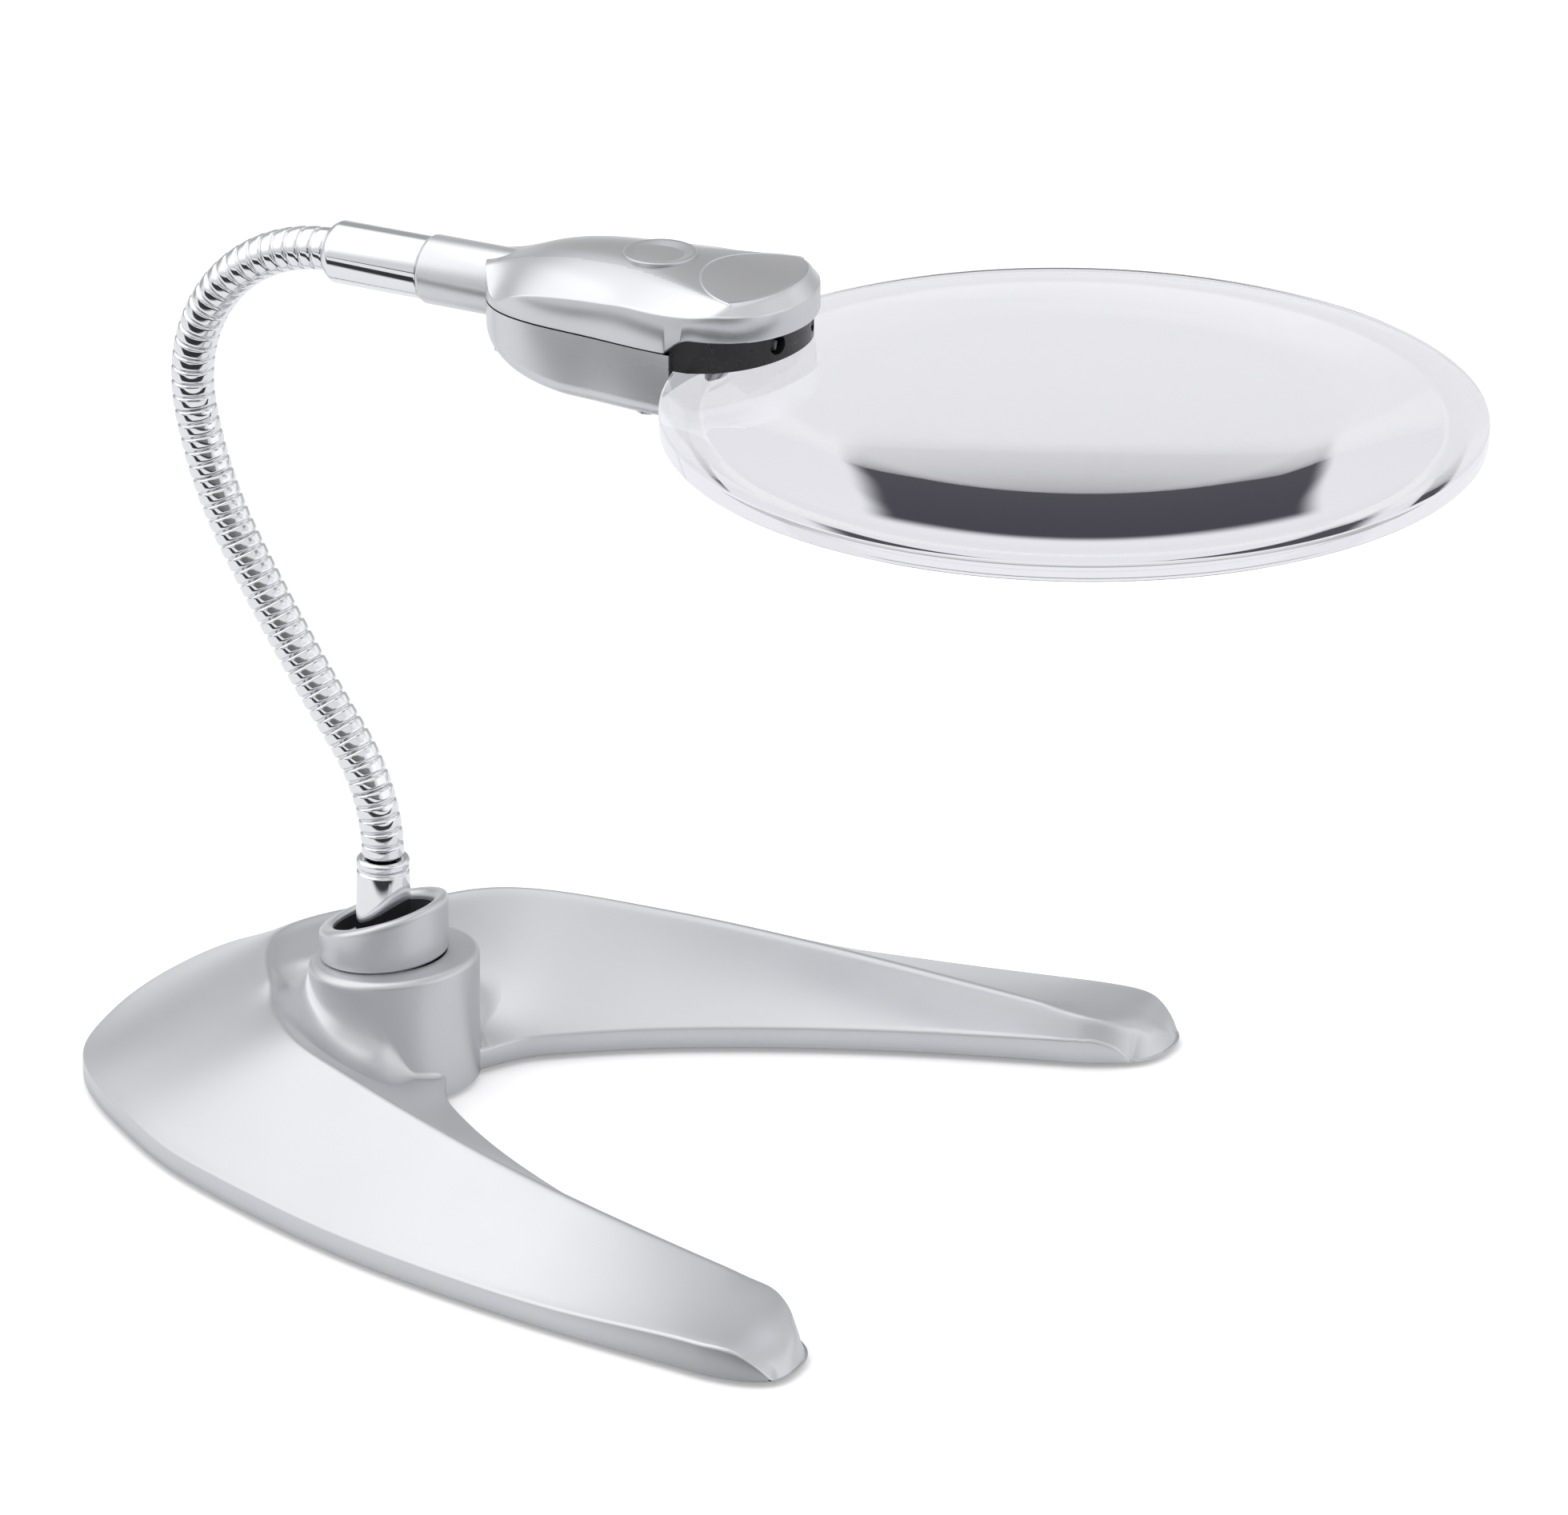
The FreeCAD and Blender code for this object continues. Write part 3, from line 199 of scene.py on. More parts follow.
def new_material(name, color, metallic=0.0, roughness=0.5, **extra):
    material = bpy.data.materials.new(name)
    material.use_nodes = True
    shader = material.node_tree.nodes["Principled BSDF"]
    shader.inputs["Base Color"].default_value = (*color, 1.0)
    shader.inputs["Metallic"].default_value = metallic
    shader.inputs["Roughness"].default_value = roughness
    for key, value in extra.items():
        shader.inputs[key].default_value = value
    return material


def add_noise(material, scale, detail=3.0):
    """A noise in object space."""
    tree = material.node_tree
    place = tree.nodes.new("ShaderNodeTexCoord")
    noise = tree.nodes.new("ShaderNodeTexNoise")
    noise.inputs["Scale"].default_value = scale
    noise.inputs["Detail"].default_value = detail
    tree.links.new(place.outputs["Object"], noise.inputs["Vector"])
    return noise


def vary(material, noise, socket, low, high):
    """Drives a socket of the shader between two numbers by a noise."""
    tree = material.node_tree
    spread = tree.nodes.new("ShaderNodeMapRange")
    spread.inputs["From Min"].default_value = 0.3
    spread.inputs["From Max"].default_value = 0.7
    spread.inputs["To Min"].default_value = low
    spread.inputs["To Max"].default_value = high
    tree.links.new(noise.outputs["Fac"], spread.inputs["Value"])
    tree.links.new(spread.outputs["Result"], tree.nodes["Principled BSDF"].inputs[socket])


def emboss(material, noise, strength, distance):
    """A bump from a noise, its depth in millimetres."""
    tree = material.node_tree
    bump = tree.nodes.new("ShaderNodeBump")
    bump.inputs["Strength"].default_value = strength
    bump.inputs["Distance"].default_value = distance * MM
    tree.links.new(noise.outputs["Fac"], bump.inputs["Height"])
    tree.links.new(bump.outputs["Normal"], tree.nodes["Principled BSDF"].inputs["Normal"])


def satin_paint(name, color, roughness=0.34, metallic=0.75):
    """Silver paint: metal flakes give a fine, slightly uneven sheen."""
    material = new_material(name, color, metallic, roughness)
    flakes = add_noise(material, 2600.0, 2.0)
    emboss(material, flakes, 0.12, 0.03)
    cloud = add_noise(material, 45.0, 4.0)
    vary(material, cloud, "Roughness", roughness - 0.03, roughness + 0.04)
    return material


def plastic(name, color, roughness, grain=900.0, depth=0.02):
    material = new_material(name, color, 0.0, roughness)
    noise = add_noise(material, grain, 4.0)
    emboss(material, noise, 0.25, depth)
    vary(material, noise, "Roughness", roughness - 0.05, roughness + 0.06)
    return material


def polished(name, color, roughness):
    material = new_material(name, color, 1.0, roughness)
    wipe = add_noise(material, 220.0, 3.0)
    vary(material, wipe, "Roughness", roughness * 0.7, roughness * 1.5)
    return material


base_silver = satin_paint("satin_silver_base", (0.62, 0.63, 0.65))
head_silver = satin_paint("satin_silver_head", (0.66, 0.67, 0.69), 0.28)
head_grey = satin_paint("satin_silver_head_top", (0.56, 0.565, 0.58), 0.30)
chrome = polished("chrome", (0.80, 0.81, 0.83), 0.05)
steel = polished("plated_steel", (0.55, 0.55, 0.56), 0.22)
weight_steel = polished("rough_steel", (0.30, 0.30, 0.31), 0.5)
cell_steel = polished("cell_steel", (0.66, 0.66, 0.67), 0.18)
black = plastic("black_plastic", (0.012, 0.012, 0.014), 0.30)
under_black = plastic("black_plate", (0.025, 0.025, 0.028), 0.5, 500.0, 0.05)
rubber = plastic("foot_rubber", (0.03, 0.03, 0.03), 0.8, 700.0, 0.05)
board_green = plastic("board_green", (0.02, 0.13, 0.05), 0.4)
led_clear = new_material("led_clear", (0.95, 0.95, 0.9), 0.0, 0.12)
led_clear.node_tree.nodes["Principled BSDF"].inputs["Transmission Weight"].default_value = 1.0
vary(led_clear, add_noise(led_clear, 500.0), "Roughness", 0.02, 0.06)
acrylic = new_material("clear_acrylic", (0.955, 0.958, 0.985), 0.0, 0.0, IOR=1.49)
acrylic.node_tree.nodes["Principled BSDF"].inputs["Transmission Weight"].default_value = 1.0
vary(acrylic, add_noise(acrylic, 60.0), "Roughness", 0.0, 0.012)


def math_node(tree, operation, first, second=None):
    """A math node fed by sockets or numbers; gives its output."""
    node = tree.nodes.new("ShaderNodeMath")
    node.operation = operation
    for socket, value in zip(node.inputs, (first, second)):
        if value is None:
            continue
        if isinstance(value, (int, float)):
            socket.default_value = value
        else:
            tree.links.new(value, socket)
    return node.outputs["Value"]


def dot_with(tree, vector, direction):
    node = tree.nodes.new("ShaderNodeVectorMath")
    node.operation = "DOT_PRODUCT"
    node.inputs[1].default_value = direction
    tree.links.new(vector, node.inputs[0])
    return node.outputs["Value"]


def fade_between(tree, value, start, end, low=0.0, high=1.0):
    """A smooth change from low to high while a value goes from start to end."""
    node = tree.nodes.new("ShaderNodeMapRange")
    node.interpolation_type = "SMOOTHSTEP"
    for name, number in (("From Min", start), ("From Max", end), ("To Min", low), ("To Max", high)):
        node.inputs[name].default_value = number
    tree.links.new(value, node.inputs["Value"])
    return node.outputs["Result"]


def flattened(tree, vector):
    """The direction of a vector along the floor."""
    flat = tree.nodes.new("ShaderNodeVectorMath")
    flat.operation = "MULTIPLY"
    flat.inputs[1].default_value = (1, 1, 0)
    tree.links.new(vector, flat.inputs[0])
    unit = tree.nodes.new("ShaderNodeVectorMath")
    unit.operation = "NORMALIZE"
    tree.links.new(flat.outputs["Vector"], unit.inputs[0])
    return unit.outputs["Vector"]


AZIMUTH, ELEVATION, ROLL = radians(27.3496), radians(22.9674), radians(0.3461)
TOWARD_VIEWER = (sin(AZIMUTH), -cos(AZIMUTH), 0)
LONG_PATH = 2.5
# Directions in which the lens shows its painted dark reflection
PAINTED_DARK_SIDE, PAINTED_DARK_RISE = (0.966, 0.978), (0.34, 0.42)


def paint_lens_reflection(material):
    """Painted reflection: ends long inner paths in a glow, a painted dark crescent where they run straight
    from the viewer's side and painted pale light elsewhere.
    """
    tree = material.node_tree
    path = tree.nodes.new("ShaderNodeLightPath")
    geometry = tree.nodes.new("ShaderNodeNewGeometry")
    caught = math_node(tree, "GREATER_THAN", path.outputs["Glossy Depth"], LONG_PATH)
    incoming = geometry.outputs["Incoming"]
    along = fade_between(tree, dot_with(tree, flattened(tree, incoming), TOWARD_VIEWER), *PAINTED_DARK_SIDE)
    steep = math_node(tree, "ABSOLUTE", dot_with(tree, incoming, (0, 0, 1)))
    # Painted pale light and the painted dark crescent of the lens
    shade = tree.nodes.new("ShaderNodeMix")
    shade.data_type = "RGBA"
    shade.inputs["A"].default_value = (0.84, 0.84, 0.88, 1)
    shade.inputs["B"].default_value = (0.03, 0.028, 0.045, 1)
    dark = math_node(tree, "MULTIPLY", along, fade_between(tree, steep, *PAINTED_DARK_RISE))
    tree.links.new(dark, shade.inputs["Factor"])
    painted_glow = tree.nodes.new("ShaderNodeEmission")
    tree.links.new(shade.outputs["Result"], painted_glow.inputs["Color"])
    blend = tree.nodes.new("ShaderNodeMixShader")
    tree.links.new(caught, blend.inputs["Fac"])
    tree.links.new(tree.nodes["Principled BSDF"].outputs["BSDF"], blend.inputs[1])
    tree.links.new(painted_glow.outputs["Emission"], blend.inputs[2])
    tree.links.new(blend.outputs["Shader"], tree.nodes["Material Output"].inputs["Surface"])


# The lens gets a painted reflection: a glow that stands in for light caught inside it
paint_lens_reflection(acrylic)

# Materials of the solids that show as they are
node_materials = {
    "bottom_plate": under_black, "left_weight": weight_steel, "right_weight": weight_steel,
    "heel_weight": weight_steel, "rubber_feet": rubber, "base_screws": steel, "neck_stud": steel,
    "neck_nut": steel, "neck_washer": steel, "circuit_board": board_green, "button_dome": rubber,
    "coin_cells": cell_steel, "cell_contact": steel, "white_leds": led_clear, "lens_screws": steel,
    "lamp_bar": black,
}
for node, material in node_materials.items():
    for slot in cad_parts[node].material_slots:
        slot.material = material

# Base: the roof's cross sections, from the heel to the left toe
outer_shares = [
    (-0.4265, 0.0), (-0.4177, 0.155), (-0.3894, 0.319), (-0.3088, 0.463), (-0.2319, 0.550),
    (-0.1186, 0.659), (-0.0248, 0.724), (0.062, 0.774), (0.2265, 0.854), (0.3788, 0.907),
    (0.5221, 0.943), (0.6593, 0.969), (0.792, 0.985), (0.8903, 0.997),
]
inner_shares = [
    (0.9062, 0.717), (0.8496, 0.688), (0.7363, 0.631), (0.6248, 0.568), (0.5159, 0.497), (0.4097, 0.418),
    (0.3071, 0.329), (0.2106, 0.226), (0.1664, 0.163), (0.1434, 0.103), (0.1283, 0.065),
]
section_shares = [
    (-0.179, 0.0, 0.995, -0.4265, 0.0, 0.140, 0.0, 1.0),
    (-0.159, 0.103, 0.995, -0.4177, 0.174, 0.140, 0.026, 1.0),
    (-0.1035, 0.226, 0.991, -0.3752, 0.355, 0.141, 0.058, 1.0),
    (-0.0416, 0.348, 0.982, -0.2832, 0.490, 0.142, 0.090, 1.0),
    (0.0274, 0.452, 0.963, -0.1593, 0.619, 0.150, 0.129, 1.0),
    (0.1159, 0.515, 0.926, 0.0, 0.741, 0.168, 0.165, 1.0),
    (0.2204, 0.565, 0.861, 0.1593, 0.825, 0.237, 0.258, 1.0),
    (0.3221, 0.607, 0.796, 0.2832, 0.876, 0.330, 0.351, 1.0),
    (0.4221, 0.642, 0.727, 0.4071, 0.916, 0.426, 0.431, 1.0),
    (0.5221, 0.671, 0.660, 0.5133, 0.941, 0.522, 0.501, 1.0),
    (0.6221, 0.694, 0.594, 0.6195, 0.962, 0.621, 0.566, 1.04),
    (0.7221, 0.713, 0.529, 0.7221, 0.978, 0.721, 0.623, 1.15),
    (0.8221, 0.730, 0.464, 0.8221, 0.989, 0.8221, 0.673, 1.3),
    (0.9221, 0.745, 0.400, 0.9221, 1.0, 0.9221, 0.723, 1.35),
    (1.0221, 0.759, 0.337, 1.0221, 1.010, 1.0221, 0.773, 1.35),
]
SAG = 0.055
PAST_EDGE = 1.12
CREST_ROUND = 1.6
TOE_START = 97.0
TOE_HEIGHT = 9.2
TOE_LEAD, TOE_LIFT = 13.0, 5.0
NOSE_REACH, NOSE_BULGE, NOSE_MIDDLE, NOSE_WIDTH = 110.8, 2.6, 68.0, 5.8
INNER_DIP, OUTER_DIP = (100.0, 9.5), (98.0, 13.8)
WALL_SLOPE = 2.6
FREE = 60.0
RIDGE_END = (110.0, 60.2)
SCOOP = 9.5
BOWL_SHARE, BOWL_WIDTH = 0.62, 9.0
VALLEY_REACH = 24.0
ABOVE_ALL = 80.0
LAST_ROW = 103.0
SADDLE_DROP = 18.0


def plan(shares):
    return np.array([(x * REACH, y * HALF_WIDTH) for x, y in shares])


def both_sides(points):
    """A half outline with its mirror image before it; the first point lies on the middle line."""
    points = np.asarray(points, float)
    mirror = points[1:][::-1].copy()
    mirror[:, 1] *= -1
    return np.vstack([mirror, points])


outer_line = smooth_through(both_sides(plan(outer_shares)), 801)[400:]
inner_line = smooth_through(plan(inner_shares), 400)
toe_places = [
    outer_line[-1], (105.5, 76.9), (109.3, 75.8), (112.0, 73.9), (113.2, 71.0), (113.3, 67.5), (112.8, 64.3),
    (111.6, 61.9), (109.4, 59.7), (105.9, 57.3), inner_line[0],
]
toe_arc = smooth_through(toe_places, 161)
ridge_index = int(np.hypot(toe_arc[:, 0] - RIDGE_END[0], toe_arc[:, 1] - RIDGE_END[1]).argmin())
outer_round = np.vstack([outer_line, toe_arc[1:ridge_index + 1]])
inner_round = np.vstack([toe_arc[ridge_index:-1], inner_line])[::-1]


def nearest(line, x, y):
    gaps = np.hypot(line[:, 0] - x, line[:, 1] - y)
    k = int(gaps.argmin())
    return line[k] if gaps[k] < EDGE else np.array([x, y])


def stations():
    """Crest, outer edge and inner edge of each section, with the outer edge's height last."""
    rows = []
    for cx, cy, cz, ox, oy, ix, iy, rim in section_shares:
        outer = nearest(outer_line, ox * REACH, oy * HALF_WIDTH)
        inner = nearest(inner_line, ix * REACH, iy * HALF_WIDTH)
        rows.append([cx * REACH, cy * HALF_WIDTH, cz * CREST, *outer, *inner, rim * EDGE])
    rows = np.array(rows)
    mirror = rows[1:][::-1].copy()
    mirror[:, [1, 4, 6]] *= -1
    return np.vstack([mirror, rows])


ROOF_ROWS = 361
roof_rows = smooth_through(stations(), ROOF_ROWS)


def roof_section(row, count=25):
    """Heights across one section, with the ridge rounded; it reaches a little past both edges."""
    crest = row[:3]
    outer = np.array([row[3], row[4], row[7]])
    inner = np.array([row[5], row[6], EDGE])
    out_run, in_run = hypot(*(outer - crest)[:2]), hypot(*(inner - crest)[:2])
    drop_out, drop_in = crest[2] - row[7], crest[2] - EDGE
    slope_length = np.linalg.norm(inner - crest)
    places = []
    half = np.linspace(0, 1, count) ** 1.6 * PAST_EDGE
    for t in np.concatenate([-half[::-1], half[1:]]):
        target = outer if t < 0 else inner
        x, y = (crest + (target - crest) * abs(t))[:2]
        run = t * (out_run if t < 0 else in_run)
        along_in = run / in_run
        high_out = crest[2] + run * drop_out / out_run
        high_in = crest[2] - run * drop_in / in_run - 4 * SAG * slope_length * along_in * (1 - along_in)
        if t < 0:
            high_in = crest[2] - run * drop_in / in_run * (1 + 4 * SAG)
        places.append((x, y, float(soft_min(high_out, high_in, CREST_ROUND))))
    return places


roof_table = [roof_section(row) for row in roof_rows]
roof_points = [p for row in roof_table for p in row]
width = len(roof_table[0])
roof_faces = []
for i in range(len(roof_table) - 1):
    for j in range(width - 1):
        k = i * width + j
        roof_faces.append((k, k + 1, k + width + 1, k + width))
roof_tree = BVHTree.FromPolygons(roof_points, roof_faces)


def eased(value, start, end):
    """A smooth step from 0 to 1 between two places."""
    share = min(max((value - start) / (end - start), 0.0), 1.0)
    return share * share * (3 - 2 * share)


def dipping(x, height, start, length):
    """A height that falls to nothing along a quarter of an ellipse."""
    share = min(max((x - start) / length, 0.0), 1.0)
    return height * sqrt(1 - share ** 2)


def nose_height(x, y):
    """The toes roll down to the floor; the wall on each side of a toe dips to the floor before its tip."""
    if x <= TOE_START - TOE_LEAD:
        return FREE
    y = abs(y)
    reach = NOSE_REACH + NOSE_BULGE * np.exp(-((y - NOSE_MIDDLE) / NOSE_WIDTH) ** 2)
    outward = eased(y, 61.0, 72.0)
    start, power = TOE_START - 4.0 * outward, 2.4 - 0.5 * outward
    share = min(max((x - start) / (reach - start), 0.0), 1.0)
    roll = TOE_HEIGHT * (1 - share ** power) ** (1 / power)
    roll += TOE_LIFT * (1 - eased(x, TOE_START - TOE_LEAD, TOE_START + 3.0))
    inner_wall, outer_wall = dipping(x, EDGE, *INNER_DIP), dipping(x, 1.4 * EDGE, *OUTER_DIP)
    wall = inner_wall + (outer_wall - inner_wall) * eased(y, 62.0, 70.0)
    return float(soft_min(roll, wall + WALL_SLOPE * distance_to(toe_arc, x, y), 0.8))


def crown_plane(x):
    return BOSS_HEIGHT + BOSS_SLANT * x


def raw_height(x, y):
    """Height of the roof before the valley beside the boss is evened out."""
    hit = roof_tree.ray_cast(Vector((x, y, ABOVE_ALL)), Vector((0, 0, -1)))[0]
    height = hit.z if hit else EDGE
    height = soft_min(height, nose_height(x, y), 1.2)
    away = hypot(x - BOSS_X, y)
    if away < BOSS_RADIUS + VALLEY_REACH:
        turned = degrees(atan2(abs(y), x - BOSS_X))
        gap = max(away - BOSS_RADIUS, 0.0)
        hollow = BOWL_SHARE * np.exp(-(gap / BOWL_WIDTH) ** 2) * (1 - eased(turned, 90.0, 130.0))
        height -= hollow * max(height - EDGE, 0.0)
        if turned > 80.0:
            drop = SADDLE_DROP * (1 - eased(turned, 80.0, 150.0)) + 0.2 * max(away - 19.0, 0) ** 2
            height = -soft_min(-height, drop - crown_plane(x) + 0.02, 1.5)
    return float(max(height, FLOOR_GAP + 0.15))


EVEN_SIZE, LEAST_SIZE = 3.6, 0.2


def roof_height(x, y):
    """Height of the roof; beside the boss, an average over a small disc that shrinks towards the ridge."""
    gap = hypot(x - BOSS_X, y) - BOSS_RADIUS
    size = EVEN_SIZE * (1 - eased(gap, 8.0, 15.0))
    if size > LEAST_SIZE:
        size = min(size, 0.8 * float(np.hypot(ridge_line[:, 0] - x, ridge_line[:, 1] - abs(y)).min()))
    height = raw_height(x, y)
    if size < LEAST_SIZE:
        return height
    ring = [(share * size, turn) for share in (0.5, 1.0) for turn in np.arange(8) * pi / 4 + share]
    around = sum(raw_height(x + far * cos(turn), y + far * sin(turn)) for far, turn in ring)
    return (height + around) / (1 + len(ring))


def matched(line, targets):
    """Distances along an outline of the points nearest to the given ones."""
    lengths = np.concatenate([[0], np.cumsum(np.hypot(*np.diff(line, axis=0).T))])
    spots = []
    for x, y in targets:
        spots.append(lengths[int(np.hypot(line[:, 0] - x, line[:, 1] - y).argmin())])
    return lengths, np.array(spots)


def at_length(line, lengths, where):
    return np.stack([np.interp(where, lengths, line[:, 0]), np.interp(where, lengths, line[:, 1])], 1)


# The plan grid follows the outline; its middle row follows the ridge and ends at the toe's tip
half_rows = roof_rows[ROOF_ROWS // 2:]
kept = half_rows[half_rows[:, 0] < LAST_ROW]
ridge_line = np.stack([kept[:, 0], np.abs(kept[:, 1])], 1)
outer_lengths, outer_spots = matched(outer_round, kept[:, 3:5])
inner_lengths, inner_spots = matched(inner_round, kept[:, 5:7])
toe_steps = np.sin(np.linspace(0, pi / 2, 41))[1:]


def run_on(spots, end):
    """Evens out the spots along an outline and runs them on to its end."""
    spots = np.maximum.accumulate(spots)
    spots = np.concatenate([spots, spots[-1] + (end - spots[-1]) * toe_steps])
    padded = np.concatenate([np.full(8, spots[0]), spots, np.full(8, end)])
    even = np.convolve(padded, np.ones(17) / 17, "valid")
    even[0], even[-1] = spots[0], end
    return even


outer_path = at_length(outer_round, outer_lengths, run_on(outer_spots, outer_lengths[-1]))
inner_path = at_length(inner_round, inner_lengths, run_on(inner_spots, inner_lengths[-1]))
tip = outer_path[-1]
crest_path = np.vstack([kept[:, :2], kept[-1, :2] + (tip - kept[-1, :2]) * toe_steps[:, None]])
outer_path = np.vstack([outer_path[:1], outer_path])
crest_path = np.vstack([crest_path[:1], crest_path])
inner_path = np.vstack([[inner_path[0][0], 0.0], inner_path])
half_across = 0.5 * (1 - np.linspace(1, 0, 22) ** 1.7)
across = np.concatenate([half_across, 1 - half_across[::-1][1:]])
EDGE_ROUND = 0.55
plan_rows = []
for outer, crest, inner in zip(outer_path, crest_path, inner_path):
    span = max(hypot(*(outer - crest)), 1e-6), max(hypot(*(inner - crest)), 1e-6)
    row = []
    for t in across:
        if t < 0.5:
            trim = min(EDGE_ROUND / span[0], 0.4)
            a = trim + (1 - trim) * t * 2
            row.append(outer + (crest - outer) * a)
        else:
            trim = min(EDGE_ROUND / span[1], 0.4)
            a = (1 - trim) * (t * 2 - 1)
            row.append(crest + (inner - crest) * a)
    plan_rows.append(row)


def edge_rows(first, outline, height):
    """A rounded top edge and a flat band down to the rim, from a row's end to the outline."""
    places = []
    for angle in (30, 60, 90):
        share = sin(radians(angle))
        lower = 1 - cos(radians(angle))
        x, y = first + (outline - first) * share
        places.append((x, y, height - min(EDGE_ROUND, height - FLOOR_GAP) * lower))
    places.append((*outline, FLOOR_GAP + 0.3))
    inward = outline + (first - outline) * 0.6
    places.append((*inward, FLOOR_GAP))
    return places


shell = Build()
for side in (1, -1):
    table = []
    for k, row in enumerate(plan_rows):
        tops = [(x, y, roof_height(x, y)) for x, y in row]
        start = edge_rows(np.array(row[0]), outer_path[k], tops[0][2])[::-1]
        end = edge_rows(np.array(row[-1]), inner_path[k], tops[-1][2])
        table.append([(x, side * y, z) for x, y, z in start + tops + end])
    shell.grid(table, flip=side < 0)

# Column of the boss, with its slanted top and the scoop that runs into the inner slopes
column_steps = 180
column_angles = [2 * pi * k / column_steps for k in range(column_steps)]
half_inner = inner_round[inner_round[:, 0] < 40]
TOP_ROUND = 1.3


def rim_reach(angle):
    """How far the roof reaches from the column's side before the open notch."""
    for reach in np.linspace(0, SCOOP + 2, 43):
        x, y = BOSS_X + (BOSS_RADIUS + reach) * cos(angle), (BOSS_RADIUS + reach) * abs(sin(angle))
        if x > np.interp(y, half_inner[:, 1], half_inner[:, 0]) - 0.4:
            return reach
    return SCOOP + 2


def wall_rise(angle):
    """Free height of the column above the roof, under its rounded edge."""
    x, y = BOSS_X + BOSS_RADIUS * cos(angle), BOSS_RADIUS * sin(angle)
    return crown_plane(x) - TOP_ROUND - roof_height(x, abs(y))


def scoop_reach(angle):
    """Radius of the scoop: small beside the notch, wide at the sides, none where the heel meets the top."""
    turned = degrees(abs(atan2(sin(angle), cos(angle))))
    limit = 1.0 + (SCOOP - 1.0) * eased(turned, 46.0, 72.0)
    return max(min(limit, rim_reach(angle), wall_rise(angle) * 0.85), 0.0)


reaches = np.array([scoop_reach(angle) for angle in column_angles])
wrapped = np.concatenate([reaches[-3:], reaches, reaches[:3]])
reaches = np.minimum(reaches, np.convolve(wrapped, np.ones(7) / 7, "valid"))


def scoop_profile(angle, reach):
    """From the roof up the column's side to its top, at one angle round the axis."""
    dx, dy = cos(angle), sin(angle)
    crown = crown_plane(BOSS_X + BOSS_RADIUS * dx)
    limit = crown - TOP_ROUND
    open_side = rim_reach(angle) < 0.3
    places = []
    for k in range(17):
        phi = radians(90 * k / 16)
        radius = BOSS_RADIUS + reach * (1 - sin(phi))
        if open_side:
            z = FLOOR_GAP + (EDGE - FLOOR_GAP) * k / 16
        else:
            x, y = BOSS_X + radius * dx, radius * dy
            z = roof_height(x, abs(y)) + reach * (1 - cos(phi)) + 0.01
        places.append([radius, min(z, limit)])
    last = places[-1][1]
    for share in (0.25, 0.5, 0.75, 1.0):
        places.append([BOSS_RADIUS, last + (limit - last) * share])
    for angle_step in (22, 45, 68, 90):
        phi = radians(angle_step)
        radius = BOSS_RADIUS - TOP_ROUND * (1 - cos(phi))
        places.append([radius, limit + TOP_ROUND * sin(phi) - BOSS_SLANT * (BOSS_RADIUS - radius) * dx])
    places.append([9.0, crown_plane(BOSS_X + 9.0 * dx)])
    return [(BOSS_X + r * dx, r * dy, z) for r, z in places]


columns = [scoop_profile(angle, reach) for angle, reach in zip(column_angles, reaches)]
shell.grid(columns, close_rows=True)
shell.make("moulded_base", base_silver, "base", ["base_shell"], sharp=50.0, merge=0.0005)

# Collar: slanted rim with a rolled lip
collar_slope = tan(radians(19.5))
COLLAR_RISE = 7.6


def collar_lift(along):
    """The rings tilt from the boss's slant at the foot to the rim's slant at the top."""
    share = min(max((along - BOSS_HEIGHT) / COLLAR_RISE, 0.0), 1.0)
    return BOSS_SLANT + (collar_slope - BOSS_SLANT) * share


collar = Build()
collar_profile = rounded([
    (10.2, 21.8), (10.8, 22.1), (10.8, 29.4), (8.4, 29.4), (8.4, 23.8), (3.2, 23.8),
], 1.15, 7)
lathe(collar, collar_profile, steps=128, slant=collar_lift)
collar.make("slanted_collar", base_silver, "base", ["neck_collar"], sharp=60.0)

# Painted shade: a black lining inside the collar's bore, a dark sheet where the bore lies in shadow
bore = Build()
lathe(bore, [(8.36, 27.9), (8.36, 23.86), (4.8, 23.86)], steps=96, slant=collar_lift)
bore.make("collar_bore_painted_shade", under_black, "base", sharp=60.0)

# Lower ferrule, crimped on the neck
ferrule = Build()
lathe(ferrule, rounded([
    (3.0, 24.25), (4.7, 24.25), (4.45, 36.6), (4.12, 36.75), (4.12, 37.4), (4.5, 37.6), (4.5, 38.7),
    (4.1, 39.05), (3.0, 39.05),
], 0.22, 4), steps=96)
ferrule.make("crimped_ferrule", chrome, "base", ["lower_ferrule"])

# Gooseneck: interlocked bands with narrow rounded grooves


def neck_route(distance):
    """Place and heading on the neck's middle line, at a distance from its foot."""
    x, z, heading = 0.0, NECK_START, 0.0
    for length, turn in NECK_ARCS:
        turn = radians(turn)
        part = min(distance, length)
        radius = length / turn
        end = heading + turn * part / length
        x += radius * (cos(heading) - cos(end))
        z += radius * (sin(end) - sin(heading))
        heading = end
        distance -= part
        if distance <= 0:
            break
    return x, z, heading


NECK_LENGTH = sum(length for length, turn in NECK_ARCS)
PITCH = NECK_LENGTH / SEGMENTS / RIBS
GROOVE_RADIUS = 3.15


def band_radius(share):
    """Radius across one band: a gently crowned face between two narrow grooves."""
    edge = min(share, 1 - share)
    if edge < 0.03:
        return GROOVE_RADIUS
    ramp = min((edge - 0.03) / 0.15, 1.0)
    return GROOVE_RADIUS + 0.38 * sin(ramp * pi / 2) ** 0.8 + 0.07 * sin(pi * share)


